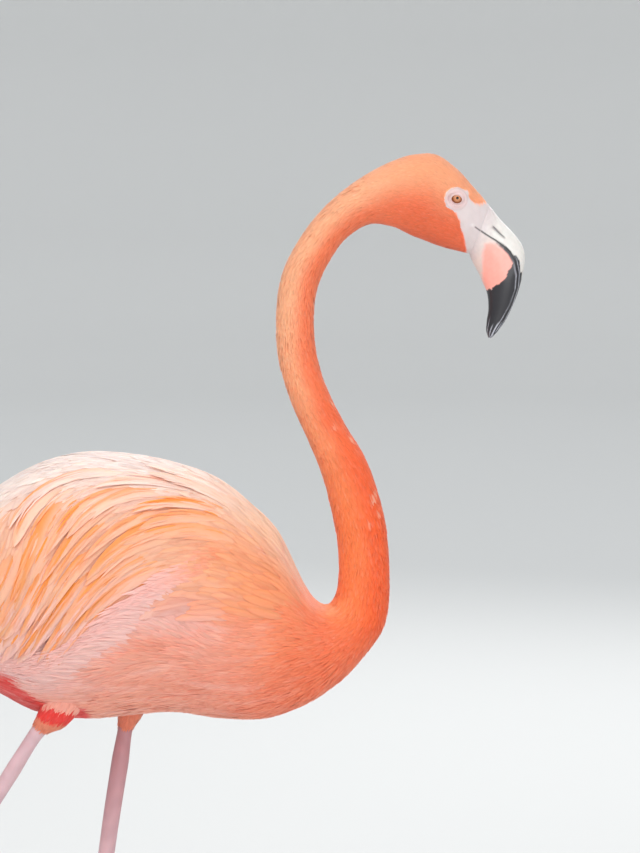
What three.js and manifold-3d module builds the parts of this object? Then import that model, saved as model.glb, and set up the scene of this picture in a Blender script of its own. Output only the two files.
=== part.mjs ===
// A still, life-size American flamingo in mid stride: left foot under the body, right foot a step behind.
// Millimetres, +Z up, the bill towards +X, the bird's left side towards +Y, both soles flat on Z = 0.
// The body, neck and head are one smooth loft, parted into named solids by thin cuts; the bill, legs, feet,
// eyes and claws are lofts and spheres of their own. Every solid is the outline of the feathered bird.
import * as THREE from "three";
import { mergeVertices } from "three/addons/utils/BufferGeometryUtils.js";
import Module from "manifold-3d";

const wasm = await Module();
wasm.setup();

// ---------- driving dimensions ----------
const GAP = 0.3; // between solids that meet
const CENTRE_SHIFT = 12; // moves the whole bird along X, so its bounding box is centred on X = 0
const EYE_RADIUS = 8;
const EYE_FACETS = [12, 8]; // round the eye and from top to bottom
const EYE = { x: 221.4, y: 13.6, z: 994.4 }; // centre of the left eyeball, mirrored for the right
const WING_DEPTH = 22; // from a wing's outside to the flank beneath it
const WING_PROUD = 2.5; // how far the coverts stand out from the flank
const PLUME_DEPTH = 9; // from the flank's surface down to the underside of the shoulder plumes
const PLUME_PROUD = 6.5; // how far the shoulder plumes stand out from the flank
const SHANK_CUT = 14; // height at which a tarsus ends and its foot begins
const WEB_THICKNESS = 1.4;
const AROUND_TOE = 6;
const TOE_LIFT = 3; // height of a toe's middle line
const TOE_RADII = [5.2, 4.2, 4.6, 3.4, 3.8, 2.7]; // from the ball of the foot out to the claw
const CLAW_LENGTH = 9;
const CLAW_RADII = [2.1, 1.8, 0.5];

// ---------- colours ----------
const material = (color, roughness = 0.8) =>
  new THREE.MeshStandardMaterial({ color, roughness, metalness: 0 });
const PAINT = {
  trunk: material(0xf2a48c),
  wing: material(0xf6a877),
  plume: material(0xf7a055),
  flight: material(0x1c1a1d, 0.5),
  tail: material(0xef9a86),
  neck: material(0xf58450),
  head: material(0xf38a58),
  thigh: material(0xee9582),
  leg: material(0xd9a0ad, 0.55),
  web: material(0xcf919f, 0.55),
  billUpper: material(0xf3dcd6, 0.4),
  billLower: material(0xf2b3a6, 0.4),
  eye: material(0xe8b860, 0.1),
  claw: material(0x3a3032, 0.4),
};

// ---------- small tools ----------
const radians = THREE.MathUtils.degToRad;

/** A closed geometry as a solid that can be cut and joined, its faces turned outwards. */
function solid(geometry) {
  const bare = geometry.index ? geometry.toNonIndexed() : geometry.clone();
  bare.deleteAttribute("normal");
  bare.deleteAttribute("uv");
  const merged = mergeVertices(bare, 1e-3);
  const made = (triVerts) =>
    new wasm.Manifold(
      new wasm.Mesh({ numProp: 3, vertProperties: merged.attributes.position.array, triVerts }),
    );
  const faces = new Uint32Array(merged.index.array);
  const body = made(faces);
  return body.volume() > 0 ? body : made(faces.toReversed());
}

/** A solid as a geometry again. */
function geometryOf(body) {
  const mesh = body.getMesh();
  const geometry = new THREE.BufferGeometry();
  geometry.setAttribute("position", new THREE.BufferAttribute(mesh.vertProperties, 3));
  geometry.setIndex(new THREE.BufferAttribute(mesh.triVerts, 1));
  geometry.computeVertexNormals();
  return geometry;
}

/** The biggest single body of a cut solid. */
function biggest(body) {
  return body.decompose().reduce((best, piece) => (piece.volume() > best.volume() ? piece : best));
}

/** Everything below a height, as a block to cut with. */
function below(height) {
  const size = 2000;
  return solid(new THREE.BoxGeometry(size, size, size).translate(0, 0, height - size / 2));
}

/** A value of a list of sections at the fractional index t, on a smooth curve through all of them. */
function along(list, t, key) {
  const last = list.length - 1;
  const i = Math.min(Math.floor(t), last - 1);
  const value = (k) => list[THREE.MathUtils.clamp(k, 0, last)][key];
  const curve = new THREE.SplineCurve(
    [i - 1, i, i + 1, i + 2].map((k) => new THREE.Vector2(k, value(k))),
  );
  return curve.getPoint((1 + t - i) / 3).y;
}

/** A closed tube through rings of equal length, with a point of its own in the middle of each end. */
function skinned(rings) {
  const around = rings[0].length;
  const points = rings.flat();
  const middle = (ring) =>
    ring.reduce((sum, p) => sum.add(p), new THREE.Vector3()).divideScalar(around);
  const first = points.push(middle(rings[0])) - 1;
  const last = points.push(middle(rings.at(-1))) - 1;
  const lastRing = (rings.length - 1) * around;
  const faces = [];
  for (let k = 0; k < around; k++) {
    const next = (k + 1) % around;
    for (let r = 0; r < lastRing; r += around)
      faces.push(r + k, r + next, r + k + around, r + next, r + next + around, r + k + around);
    faces.push(first, next, k, last, lastRing + k, lastRing + next);
  }
  const geometry = new THREE.BufferGeometry().setFromPoints(points);
  geometry.setIndex(faces);
  return geometry;
}

// ---------- lofts ----------
// x, z: middle of the section. tilt: how far its back leans towards the tail, in degrees.
// deep, wide: half its depth and half its width. egg: above 0 it is broader towards the back.
const section = (x, z, tilt, deep, wide, egg = 0, y = 0) => ({ x, y, z, tilt, deep, wide, egg });

/** One ring of a loft at t, swollen by grow. Its first point is on the back. */
function ringAt(list, t, around, grow) {
  const { x, y, z, tilt, deep, wide, egg } = Object.fromEntries(
    Object.keys(list[0]).map((key) => [key, along(list, t, key)]),
  );
  const lean = radians(tilt);
  return Array.from({ length: around }, (_, k) => {
    const turn = (2 * Math.PI * k) / around;
    const up = (deep + grow) * Math.cos(turn);
    const out = (wide + grow) * Math.sin(turn) * (1 + egg * Math.cos(turn));
    return new THREE.Vector3(x - up * Math.sin(lean), y + out, z + up * Math.cos(lean));
  });
}

/** The stretch of a loft from t0 to t1, in so many steps. */
function stretch(list, t0, t1, steps, around, grow = 0) {
  const rings = Array.from({ length: steps + 1 }, (_, s) =>
    ringAt(list, t0 + ((t1 - t0) * s) / steps, around, grow),
  );
  return solid(skinned(rings));
}

/** A whole loft, in so many steps. */
const loft = (list, steps, around, grow = 0) =>
  stretch(list, 0, list.length - 1, steps, around, grow);

/** How much t half a gap takes up at t, on the inside of the bend. */
function halfGap(list, t) {
  const step = 0.05;
  const change = (key) => along(list, t, key) - along(list, t - step, key);
  const middle = Math.hypot(change("x"), change("z"));
  const inside = middle - Math.abs(radians(change("tilt"))) * along(list, t, "deep");
  return ((GAP / 2) * step) / inside;
}

const mirrorTo = (body, side) => (side > 0 ? body : body.mirror([0, 1, 0]));

// ---------- the body's sections, from the tail end to the base of the bill ----------
const BODY = [
  section(-296, 606, 8, 13, 9, 0),
  section(-279, 615, 4, 28, 28, 0.05),
  section(-249, 628, 3, 52, 49, 0.08),
  section(-217, 637, 2, 75, 66, 0.1),
  section(-187, 641, 1, 96, 78, 0.12),
  section(-152, 643, 0, 114, 86, 0.12),
  section(-112, 645, 0, 122, 89, 0.12),
  section(-70, 646, 0, 119, 89, 0.1),
  section(-29, 643, 0, 114, 86, 0.08),
  section(9, 634, 1, 110, 81, 0.05),
  section(43, 622, 3, 99, 73, 0.02),
  section(73, 614, 7, 81, 61, 0),
  section(97, 606, 18, 56, 46, -0.03),
  section(116, 607, 41, 37, 34, -0.03),
  section(131, 617, 70, 30, 27, 0),
  section(138, 632, 88, 26, 23, 0),
  section(140.5, 651, 95, 24, 21.5, 0),
  section(140, 678, 96, 23.3, 21, 0),
  section(135.5, 709, 100, 23.3, 20.5, 0),
  section(123.5, 751, 111, 21.8, 19.5, 0),
  section(107, 785, 112, 18.8, 17.5, 0),
  section(90.5, 820, 110, 17.8, 17, 0),
  section(80.4, 855, 99, 17.9, 16.8, 0),
  section(78.4, 891, 90, 17.5, 16.6, 0),
  section(83, 922.5, 75, 17.5, 16.6, 0),
  section(97, 951, 59, 17.2, 16.6, 0),
  section(114.6, 973.5, 43, 17.3, 16.8, 0),
  section(138.5, 991, 20, 20.4, 17.6, 0),
  section(161.5, 997.5, 7, 28, 19.8, 0.04),
  section(181, 998, 0, 35.5, 21.8, 0.08),
  section(199.3, 995.6, -6, 38.8, 22.6, 0.08),
  section(216, 987, -9, 35.9, 21.4, 0.05),
  section(230.5, 977, -13, 29.6, 18.4, 0),
  section(242.7, 967.4, -22, 23.5, 14.2, 0),
];
const BODY_END = BODY.length - 1;
const CUT = { neckBase: 15.6, neckLower: 18.3, neckMiddle: 21, neckUpper: 24.3, head: 28.2 };
const TRUNK_STEPS = 16;
const AROUND_BODY = 20;
const AROUND_NECK = 14;
const AROUND_HEAD = 16;
const STEPS = { neckBase: 5, neckLower: 5, neckMiddle: 6, neckUpper: 7, head: 8 };
const CORE = { start: 1.2, end: 13, steps: 8, around: 14 };

/** The body between two cuts, short of each by half a gap. */
function bodyPart(t0, t1, steps, around) {
  const start = t0 === 0 ? 0 : t0 + halfGap(BODY, t0);
  const end = t1 === BODY_END ? t1 : t1 - halfGap(BODY, t1);
  return stretch(BODY, start, end, steps, around);
}

/** The trunk swollen all round, in the trunk's own facets, and a little longer at the neck. */
function swollenTrunk(grow) {
  const further = TRUNK_STEPS + 2;
  return stretch(BODY, 0, (CUT.neckBase * further) / TRUNK_STEPS, further, AROUND_BODY, grow);
}

/** The core of the trunk that lies deeper than a depth, short of both its ends by trim. */
const core = (depth, trim = 0) =>
  stretch(BODY, CORE.start + trim, CORE.end - trim, CORE.steps, CORE.around, -depth);

// ---------- the bill's sections, from its base to its tip ----------
const BILL = [
  section(243, 967.1, -22, 23.4, 14.1),
  section(249.4, 957.1, -31, 22.9, 13.9),
  section(258.2, 946, -41, 23.6, 13.6),
  section(264, 936.2, -48, 23.9, 13.2),
  section(266.6, 927.4, -52, 22, 12.6),
  section(266.4, 918, -57, 18.6, 11.6),
  section(265.2, 908.5, -65, 15.2, 10.2),
  section(262.4, 897, -78, 11.2, 8.2),
  section(258, 885, -94, 7.9, 6),
  section(254.6, 876.5, -100, 5, 4),
  section(252.8, 870.6, -102, 1.2, 1.2),
];
// The line where the two halves of the bill meet, seen from the side, from the gape to the tip.
const BILL_PARTING = [
  [225, 977],
  [237.3, 970.5],
  [248, 963.4],
  [257, 958],
  [264.2, 952.7],
  [269.6, 947.4],
  [274.1, 939.3],
  [276.5, 927.7],
  [275.7, 915.2],
  [270.9, 900],
  [264.7, 888.4],
  [258.5, 878.5],
  [254.4, 868],
];
const BILL_STEPS = 13;
const AROUND_BILL = 12;
const BEHIND_BILL = 200; // a place behind the bill, in X
const PARTING_CUT = 40; // half the width of the block that parts the bill
const NOSTRIL = { x: 259.2, y: 13, z: 965.6, length: 15, height: 2.2, lean: -45, depth: 3 };

// ---------- wings: seen from the side, their lower edges are rows of feather tips ----------
const PLUME_TOP = [[70, 684], [10, 722], [-60, 746], [-130, 748], [-195, 726], [-250, 682], [-291, 616]];
const PLUME_EDGE = [
  [70, 684], [22, 702], [-30, 680], [-74, 640], [-112, 604], [-170, 604], [-235, 602], [-291, 616],
];
const WING_TOP = [[46, 676], [0, 708], [-80, 726], [-150, 722], [-215, 690], [-262, 650], [-292, 608]];
const WING_EDGE = [
  [46, 676], [4, 660], [-40, 632], [-82, 604], [-125, 590], [-190, 588], [-250, 596], [-292, 608],
];
const PLUME_TIPS = { count: 10, droop: 13 };
const WING_TIPS = { count: 8, droop: 7 };
// How far along a feather tip each of its corners is, and its share of the droop.
const TIP_CORNERS = [[0.4, 0.9], [0.8, 0.8]];
const TIP_SLANT = 0.4; // how far a tip points to the rear for each millimetre it hangs
const BLOCK = { inner: 18, outer: 150 };

/** A curve through points of X and Z. */
const sideCurve = (points) => new THREE.SplineCurve(points.map(([x, z]) => new THREE.Vector2(x, z)));

/** The outline of a wing from the side: a smooth top, and a lower edge of rounded feather tips. */
function wingOutline(top, edge, tips) {
  const points = sideCurve(top).getPoints(9);
  const lower = sideCurve(edge);
  for (let tip = tips.count; tip > 0; tip--) {
    for (const [share, hang] of TIP_CORNERS) {
      const p = lower.getPoint((tip - share) / tips.count);
      points.push(new THREE.Vector2(p.x - tips.droop * hang * TIP_SLANT, p.y - tips.droop * hang));
    }
    if (tip > 1) points.push(lower.getPoint((tip - 1) / tips.count));
  }
  return points;
}

/** An outline with every corner moved outwards. */
function outset(points, by) {
  const turned = THREE.ShapeUtils.isClockWise(points) ? -by : by;
  return points.map((p, i) => {
    const before = points.at(i - 1);
    const after = points[(i + 1) % points.length];
    const a = p.clone().sub(before).normalize();
    const b = after.clone().sub(p).normalize();
    const out = new THREE.Vector2(a.y + b.y, -a.x - b.x);
    const reach = Math.max(out.length() / 2, 0.4);
    return p.clone().addScaledVector(out.normalize(), turned / reach);
  });
}

/** An outline in X and Z as a block between two distances out to the left. */
function sideBlock(points, inner, outer) {
  const block = new THREE.ExtrudeGeometry(new THREE.Shape(points), {
    depth: outer - inner,
    bevelEnabled: false,
  });
  return solid(block.rotateX(Math.PI / 2).translate(0, outer, 0));
}

/** A feathered layer on the left side, and the room it needs, from its outline and its two surfaces. */
function featherLayer(points, proud, depth) {
  const layer = sideBlock(points, BLOCK.inner, BLOCK.outer)
    .intersect(swollenTrunk(proud))
    .subtract(core(depth));
  const room = sideBlock(outset(points, GAP), BLOCK.inner - GAP, BLOCK.outer + GAP).subtract(
    core(depth + GAP, 0.04),
  );
  return { layer, room };
}

// ---------- tail and flight feathers ----------
const TAIL = [
  section(-226, 634, 46, 13, 24),
  section(-258, 611, 44, 9, 33),
  section(-284, 592, 42, 5.5, 38),
  section(-300, 580, 40, 3, 36),
  section(-307, 575, 40, 1.2, 25),
];
const TAIL_STEPS = 4;
const AROUND_TAIL = 12;
// The black quills of the left wing, folded over the root of the tail.
const BLADE = [
  section(-212, 599, 5, 10, 3.2, 0, 50),
  section(-248, 591, 7, 9.5, 3, 0, 32),
  section(-280, 584, 9, 7, 2.4, 0, 19),
  section(-304, 578, 12, 1.6, 0.9, 0, 14),
];

const BLADE_STEPS = 4;
const AROUND_BLADE = 8;

// ---------- legs: each is one line of sections, from inside the thigh down to the foot ----------
// The right leg pushes off behind, the left leg carries the weight under the body.
const leg = (x, y, z, deep, wide) => ({ x, y, z, deep, wide });
const LEFT_LEG = {
  line: [
    leg(-64, 35, 580, 32, 19),
    leg(-70, 35, 545, 21, 14),
    leg(-75.5, 34.8, 520, 12.5, 11.3),
    leg(-80, 34, 504, 8.2, 7.9),
    leg(-85.5, 32.8, 470, 8, 7),
    leg(-92.7, 31, 425, 7.8, 6.8),
    leg(-99.5, 29, 378, 7.6, 6.9),
    leg(-105, 27.5, 340, 8.4, 7.9),
    leg(-107.5, 26.8, 320, 10, 9.6),
    leg(-108.5, 26.3, 309, 10.6, 10.2),
    leg(-104.5, 26, 293, 8.4, 8),
    leg(-94, 25.4, 255, 6.8, 6.2),
    leg(-75, 24, 187, 6.5, 5.6),
    leg(-54, 22.4, 110, 6.5, 5.6),
    leg(-37, 20.8, 50, 6.8, 6),
    leg(-28.5, 20, 20, 7.4, 6.8),
    leg(-24.6, 19.6, 3.5, 7.6, 7.4),
  ],
  ball: { x: -24, y: 19.6, heading: -4 },
};
const RIGHT_LEG = {
  line: [
    leg(-110, -35, 586, 30, 19),
    leg(-126, -34.5, 553, 20, 13.5),
    leg(-140, -34.2, 531, 14.5, 11.5),
    leg(-154, -33.8, 517, 8, 7.8),
    leg(-180, -32, 476, 7, 6.6),
    leg(-208.5, -29, 431, 6.9, 6.5),
    leg(-237.5, -25.5, 385, 7.1, 6.7),
    leg(-261, -23, 348, 8.1, 7.8),
    leg(-271.5, -22, 332, 10, 9.6),
    leg(-275.5, -21.7, 320, 10.6, 10.2),
    leg(-275, -21.5, 303, 8.4, 8),
    leg(-271.5, -21.2, 263, 6.8, 6.2),
    leg(-266, -20.5, 195, 6.5, 5.6),
    leg(-259.5, -19.8, 117, 6.5, 5.6),
    leg(-254, -19.2, 52, 6.8, 6),
    leg(-251.3, -19, 20, 7.4, 6.8),
    leg(-249, -18.8, 3.5, 7.6, 7.4),
  ],
  ball: { x: -248, y: -18.8, heading: 3 },
};
const LEG_CUT = { shin: 2.9, shank: 8.5 };
const LEG_STEPS = { thigh: 4, shin: 8, tarsus: 10 };
const AROUND_THIGH = 12;
const AROUND_LEG = 10;

// Toes, as seen on the left foot: direction from straight ahead towards the outside, and length.
const TOES = [
  { name: "inner", turn: -27, length: 62 },
  { name: "middle", turn: 3, length: 76 },
  { name: "outer", turn: 32, length: 68 },
];
const HIND_TOE = { length: 16, height: 9.8, drop: 4, radii: [3.2, 2.8, 2.2], turn: 168 };
const HIND_CLAW = { length: 4.6, drop: 2.6, radii: [1.5, 1.2, 0.5] };
// The web's edge: each corner's share of the way to the next toe, and how far out it is.
const WEB_EDGE = [[0.25, 0.84], [0.5, 0.78], [0.75, 0.84]];
const WEB_SHORT = 6; // how far short of a claw the web joins its toe

/** The sections of a leg, each square to the way the leg runs. */
function legSections(stops) {
  return stops.map(({ x, y, z, deep, wide }, i) => {
    const before = stops[Math.max(i - 1, 0)];
    const after = stops[Math.min(i + 1, stops.length - 1)];
    const tilt = THREE.MathUtils.radToDeg(Math.atan2(before.z - after.z, before.x - after.x));
    return section(x, z, tilt, deep, wide, 0, y);
  });
}

/** A tapering rod along a straight line on the foot, with so many sections. */
function rod(from, to, radii) {
  const length = to.distanceTo(from);
  const profile = [new THREE.Vector2(0, 0)];
  radii.forEach((radius, i) => profile.push(new THREE.Vector2(radius, (length * i) / (radii.length - 1))));
  profile.push(new THREE.Vector2(0, length));
  const shape = new THREE.LatheGeometry(profile, AROUND_TOE);
  const aim = new THREE.Quaternion().setFromUnitVectors(
    new THREE.Vector3(0, 1, 0),
    to.clone().sub(from).normalize(),
  );
  return solid(shape.applyQuaternion(aim).translate(from.x, from.y, from.z));
}

/** A foot and its claws, from where its ball stands, the way it points and the side it is on. */
function buildFoot(footing, side, shankEnd) {
  const hub = new THREE.Vector3(footing.x, footing.y, 0);
  const reach = (turn, length, height) => {
    const angle = radians(footing.heading + side * turn);
    return new THREE.Vector3(hub.x + length * Math.cos(angle), hub.y + length * Math.sin(angle), height);
  };
  const claws = [];
  let foot = shankEnd;
  const web = [reach(180, 6, 0)];
  TOES.forEach(({ name, turn, length }, i) => {
    const bone = length - CLAW_LENGTH;
    const heel = reach(turn, -4, TOE_LIFT + 1);
    foot = foot.add(rod(heel, reach(turn, bone, TOE_LIFT - 0.4), TOE_RADII));
    claws.push([name, rod(reach(turn, bone + GAP, 2.2), reach(turn, length, 1), CLAW_RADII)]);
    web.push(reach(turn, bone - WEB_SHORT, 0));
    const next = TOES[i + 1];
    if (next) {
      const span = Math.min(bone, next.length - CLAW_LENGTH);
      for (const [share, far] of WEB_EDGE)
        web.push(reach(THREE.MathUtils.lerp(turn, next.turn, share), span * far, 0));
    }
  });
  const outline = new THREE.Shape(web.map((p) => new THREE.Vector2(p.x, p.y)));
  const sheet = new THREE.ExtrudeGeometry(outline, { depth: 2 * WEB_THICKNESS, bevelEnabled: false });
  const hindEnd = HIND_TOE.height - HIND_TOE.drop;
  const hindTip = reach(HIND_TOE.turn, HIND_TOE.length, hindEnd);
  foot = foot
    .add(solid(sheet.translate(0, 0, -WEB_THICKNESS)))
    .add(rod(reach(HIND_TOE.turn, 0, HIND_TOE.height), hindTip, HIND_TOE.radii))
    .subtract(below(0));
  const hindClaw = reach(HIND_TOE.turn, HIND_TOE.length + HIND_CLAW.length, hindEnd - HIND_CLAW.drop);
  // The claw bends down from the toe, so its root keeps three gaps from the toe's end.
  const away = hindClaw.clone().sub(hindTip).normalize().multiplyScalar(3 * GAP);
  claws.push(["hind", rod(hindTip.clone().add(away), hindClaw, HIND_CLAW.radii)]);
  return { foot, claws: claws.map(([name, body]) => [name, body.subtract(below(0))]) };
}

// ---------- the bird ----------
const bird = new THREE.Group();

/** Add a solid to the bird as a named mesh. */
function addNode(name, body, paint) {
  const mesh = new THREE.Mesh(geometryOf(body), paint);
  mesh.name = name;
  mesh.position.x = CENTRE_SHIFT;
  bird.add(mesh);
}

/** Everything behind the line of the mouth, on the lower bill's side of it. */
function underParting(grow) {
  const line = BILL_PARTING.map(([x, z]) => new THREE.Vector2(x, z));
  const behind = [line.at(-1), line[0]].map((p) => new THREE.Vector2(BEHIND_BILL, p.y));
  const outline = [...new THREE.SplineCurve(line).getPoints(18), ...behind];
  return sideBlock(outset(outline, grow), -PARTING_CUT, PARTING_CUT);
}

/** The slit of a nostril, to cut from the bill. */
function nostril(side) {
  const slit = new THREE.BoxGeometry(NOSTRIL.length, 2 * NOSTRIL.depth, NOSTRIL.height);
  slit.rotateY(radians(-NOSTRIL.lean)).translate(NOSTRIL.x, side * NOSTRIL.y, NOSTRIL.z);
  return solid(slit);
}

const plumes = featherLayer(wingOutline(PLUME_TOP, PLUME_EDGE, PLUME_TIPS), PLUME_PROUD, PLUME_DEPTH);
const wing = featherLayer(wingOutline(WING_TOP, WING_EDGE, WING_TIPS), WING_PROUD, WING_DEPTH);
const blade = (grow) => loft(BLADE, BLADE_STEPS, AROUND_BLADE, grow);
const tailRoom = loft(TAIL, TAIL_STEPS, AROUND_TAIL, GAP);
let trunk = bodyPart(0, CUT.neckBase, TRUNK_STEPS, AROUND_BODY).subtract(tailRoom);
let tail = stretch(TAIL, 0.02, TAIL.length - 1, TAIL_STEPS, AROUND_TAIL);
let head = bodyPart(CUT.head, BODY_END, STEPS.head, AROUND_HEAD);
let bill = loft(BILL, BILL_STEPS, AROUND_BILL);

for (const [label, side] of [["left", 1], ["right", -1]]) {
  const wingRoom = mirrorTo(plumes.room.add(wing.room), side);
  const bladeRoom = mirrorTo(blade(GAP), side);
  addNode(`plumes_${label}`, biggest(mirrorTo(plumes.layer, side).subtract(bladeRoom)), PAINT.plume);
  const coverts = mirrorTo(wing.layer.subtract(plumes.room), side).subtract(bladeRoom);
  addNode(`wing_${label}`, biggest(coverts), PAINT.wing);
  addNode(`flight_${label}`, mirrorTo(blade(0), side), PAINT.flight);
  trunk = trunk.subtract(wingRoom).subtract(bladeRoom);
  tail = tail.subtract(wingRoom).subtract(bladeRoom);

  const limb = side > 0 ? LEFT_LEG : RIGHT_LEG;
  const line = legSections(limb.line);
  const { shin, shank } = LEG_CUT;
  const legPart = (start, end, steps, around) => {
    const from = start === 0 ? 0 : start + halfGap(line, start);
    const to = end === line.length - 1 ? end : end - halfGap(line, end);
    return stretch(line, from, to, steps, around);
  };
  const thigh = legPart(0, shin, LEG_STEPS.thigh, AROUND_THIGH).subtract(swollenTrunk(GAP));
  const tarsus = legPart(shank, line.length - 1, LEG_STEPS.tarsus, AROUND_LEG);
  addNode(`thigh_${label}`, biggest(thigh), PAINT.thigh);
  addNode(`shin_${label}`, legPart(shin, shank, LEG_STEPS.shin, AROUND_LEG), PAINT.leg);
  addNode(`tarsus_${label}`, tarsus.subtract(below(SHANK_CUT)), PAINT.leg);
  const { foot, claws } = buildFoot(limb.ball, side, tarsus.intersect(below(SHANK_CUT - GAP)));
  addNode(`foot_${label}`, foot, PAINT.web);
  for (const [toe, claw] of claws) addNode(`claw_${toe}_${label}`, claw, PAINT.claw);

  const eyePlace = [EYE.x, side * EYE.y, EYE.z];
  const eye = (radius) => solid(new THREE.SphereGeometry(radius, ...EYE_FACETS).translate(...eyePlace));
  addNode(`eye_${label}`, eye(EYE_RADIUS), PAINT.eye);
  head = head.subtract(eye(EYE_RADIUS + GAP));
  bill = bill.subtract(nostril(side));
}
addNode("trunk", biggest(trunk), PAINT.trunk);
addNode("tail", biggest(tail), PAINT.tail);
for (const [name, start, end, steps] of [
  ["neck_base", CUT.neckBase, CUT.neckLower, STEPS.neckBase],
  ["neck_lower", CUT.neckLower, CUT.neckMiddle, STEPS.neckLower],
  ["neck_middle", CUT.neckMiddle, CUT.neckUpper, STEPS.neckMiddle],
  ["neck_upper", CUT.neckUpper, CUT.head, STEPS.neckUpper],
])
  addNode(name, bodyPart(start, end, steps, AROUND_NECK), PAINT.neck);
addNode("head", biggest(head), PAINT.head);
addNode("bill_upper", biggest(bill.subtract(underParting(GAP))), PAINT.billUpper);
addNode("bill_lower", biggest(bill.intersect(underParting(0))), PAINT.billLower);

export default bird;
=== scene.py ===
"""A life-size American flamingo in mid stride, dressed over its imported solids.

The body, neck and head share one loft with the solids. A single skin runs from the bill's base to the toes,
and thousands of small solid vanes lie over it, following the lie of the plumage.
"""

import logging
import math
from collections.abc import Callable, Sequence
from dataclasses import dataclass, field, replace
from enum import Enum

import bmesh
import bpy
import numpy as np
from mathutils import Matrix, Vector
from mathutils.kdtree import KDTree


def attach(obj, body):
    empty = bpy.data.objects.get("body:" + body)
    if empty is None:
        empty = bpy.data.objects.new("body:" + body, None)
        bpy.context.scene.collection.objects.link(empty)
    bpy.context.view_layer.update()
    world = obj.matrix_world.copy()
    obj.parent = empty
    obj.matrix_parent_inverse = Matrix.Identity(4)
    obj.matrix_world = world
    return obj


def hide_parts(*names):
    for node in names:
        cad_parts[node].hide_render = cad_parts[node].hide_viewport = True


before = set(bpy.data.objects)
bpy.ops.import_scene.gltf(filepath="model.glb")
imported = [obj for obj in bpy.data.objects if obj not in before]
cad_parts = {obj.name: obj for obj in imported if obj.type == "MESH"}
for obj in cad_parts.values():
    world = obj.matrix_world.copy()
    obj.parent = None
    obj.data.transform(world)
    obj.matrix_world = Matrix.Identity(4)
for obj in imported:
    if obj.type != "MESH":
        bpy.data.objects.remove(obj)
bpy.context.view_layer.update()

MM = 0.001  # one millimetre, in metres
SHIFT = 12.0  # the whole bird stands this far forward of the body's own origin, in millimetres
Array = np.ndarray
Chance = np.random.Generator
Pair = tuple[float, float]
Triple = tuple[float, float, float]
Corners = Sequence[Pair]
Steps = Sequence[Triple]
Mesh = bmesh.types.BMesh
Piece = bpy.types.Object
CHART = "OFBake"
PATCH = 0.003  # how wide each feather's patch is on that map
TINT = "Tint"
EYE_RADIUS = 8.0  # in millimetres
EYE_APART = 13.6  # from the middle plane to each eye's centre, in millimetres
NECK_START = 13.0  # section numbers on the body where the neck, the head and the bare face start
HEAD_START = 28.0
FACE_START = 28.5
log = logging.getLogger("flamingo")


# ---------- small tools


def srgb(red: float, green: float, blue: float) -> Array:
    """Turn a colour from 0 to 255 into linear light."""
    c = np.array([red, green, blue], float) / 255.0
    return np.where(c <= 0.04045, c / 12.92, ((c + 0.055) / 1.055) ** 2.4)


def tone(red: float, green: float, blue: float) -> Array:
    """Declare a colour, from 0 to 255, among the fields of a class."""
    return field(default_factory=lambda: srgb(red, green, blue))


def ease(low: float, high: float, value: Array | float) -> Array:
    """Rise smoothly from 0 at low to 1 at high; where low is above high, it falls."""
    x = np.clip((np.asarray(value, float) - low) / (high - low), 0.0, 1.0)
    return x * x * (3.0 - 2.0 * x)


def blend(a: Array, b: Array, share: Array | float) -> Array:
    """Mix two arrays of colours, or single ones: a where the share is 0, b where it is 1."""
    s = np.asarray(share, float)[..., None]
    return a * (1.0 - s) + b * s


def unit(v: Array) -> Array:
    """Scale vectors to length 1."""
    return v / np.maximum(np.linalg.norm(v, axis=-1, keepdims=True), 1e-12)


def circle(count: int) -> Array:
    """Share a full turn evenly, in radians."""
    return np.linspace(0, 2 * np.pi, count, endpoint=False)


def travelled(points: Array) -> Array:
    """Measure how far each point of a path lies along it."""
    return np.concatenate([[0.0], np.cumsum(np.linalg.norm(np.diff(points, axis=0), axis=1))])


def vary(share: float, luck: Array) -> Array:
    """Make factors about 1 from chance numbers, none of them far off."""
    return 1 + share * luck.clip(-2, 2)


def ripple(p: Array, size: float, seed: float = 0.0) -> Array:
    """A cheap, smooth, repeatable wobble over space, from -1 to 1.

    Args:
        p: Points, in metres.
        size: The size of its waves, in metres.
        seed: A number that shifts the pattern.

    Returns:
        One value for each point.
    """
    q = p / size
    a = np.sin(q[..., 0] * 1.7 + 2.3 * np.sin(q[..., 1] * 1.1 + seed) + seed)
    b = np.sin(q[..., 1] * 2.1 + 1.9 * np.sin(q[..., 2] * 1.3 + 2.0 * seed) - seed)
    c = np.sin(q[..., 2] * 1.9 + 2.1 * np.sin(q[..., 0] * 1.5 - seed) + 3.0 * seed)
    return (a + b + c) / 3.0


# ---------- the body's loft


@dataclass(frozen=True)
class Station:
    """One section of a loft, in millimetres; tilt is how far its back leans to the rear, in degrees."""

    x: float
    z: float
    tilt: float
    deep: float
    wide: float
    egg: float = 0.0
    y: float = 0.0


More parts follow.
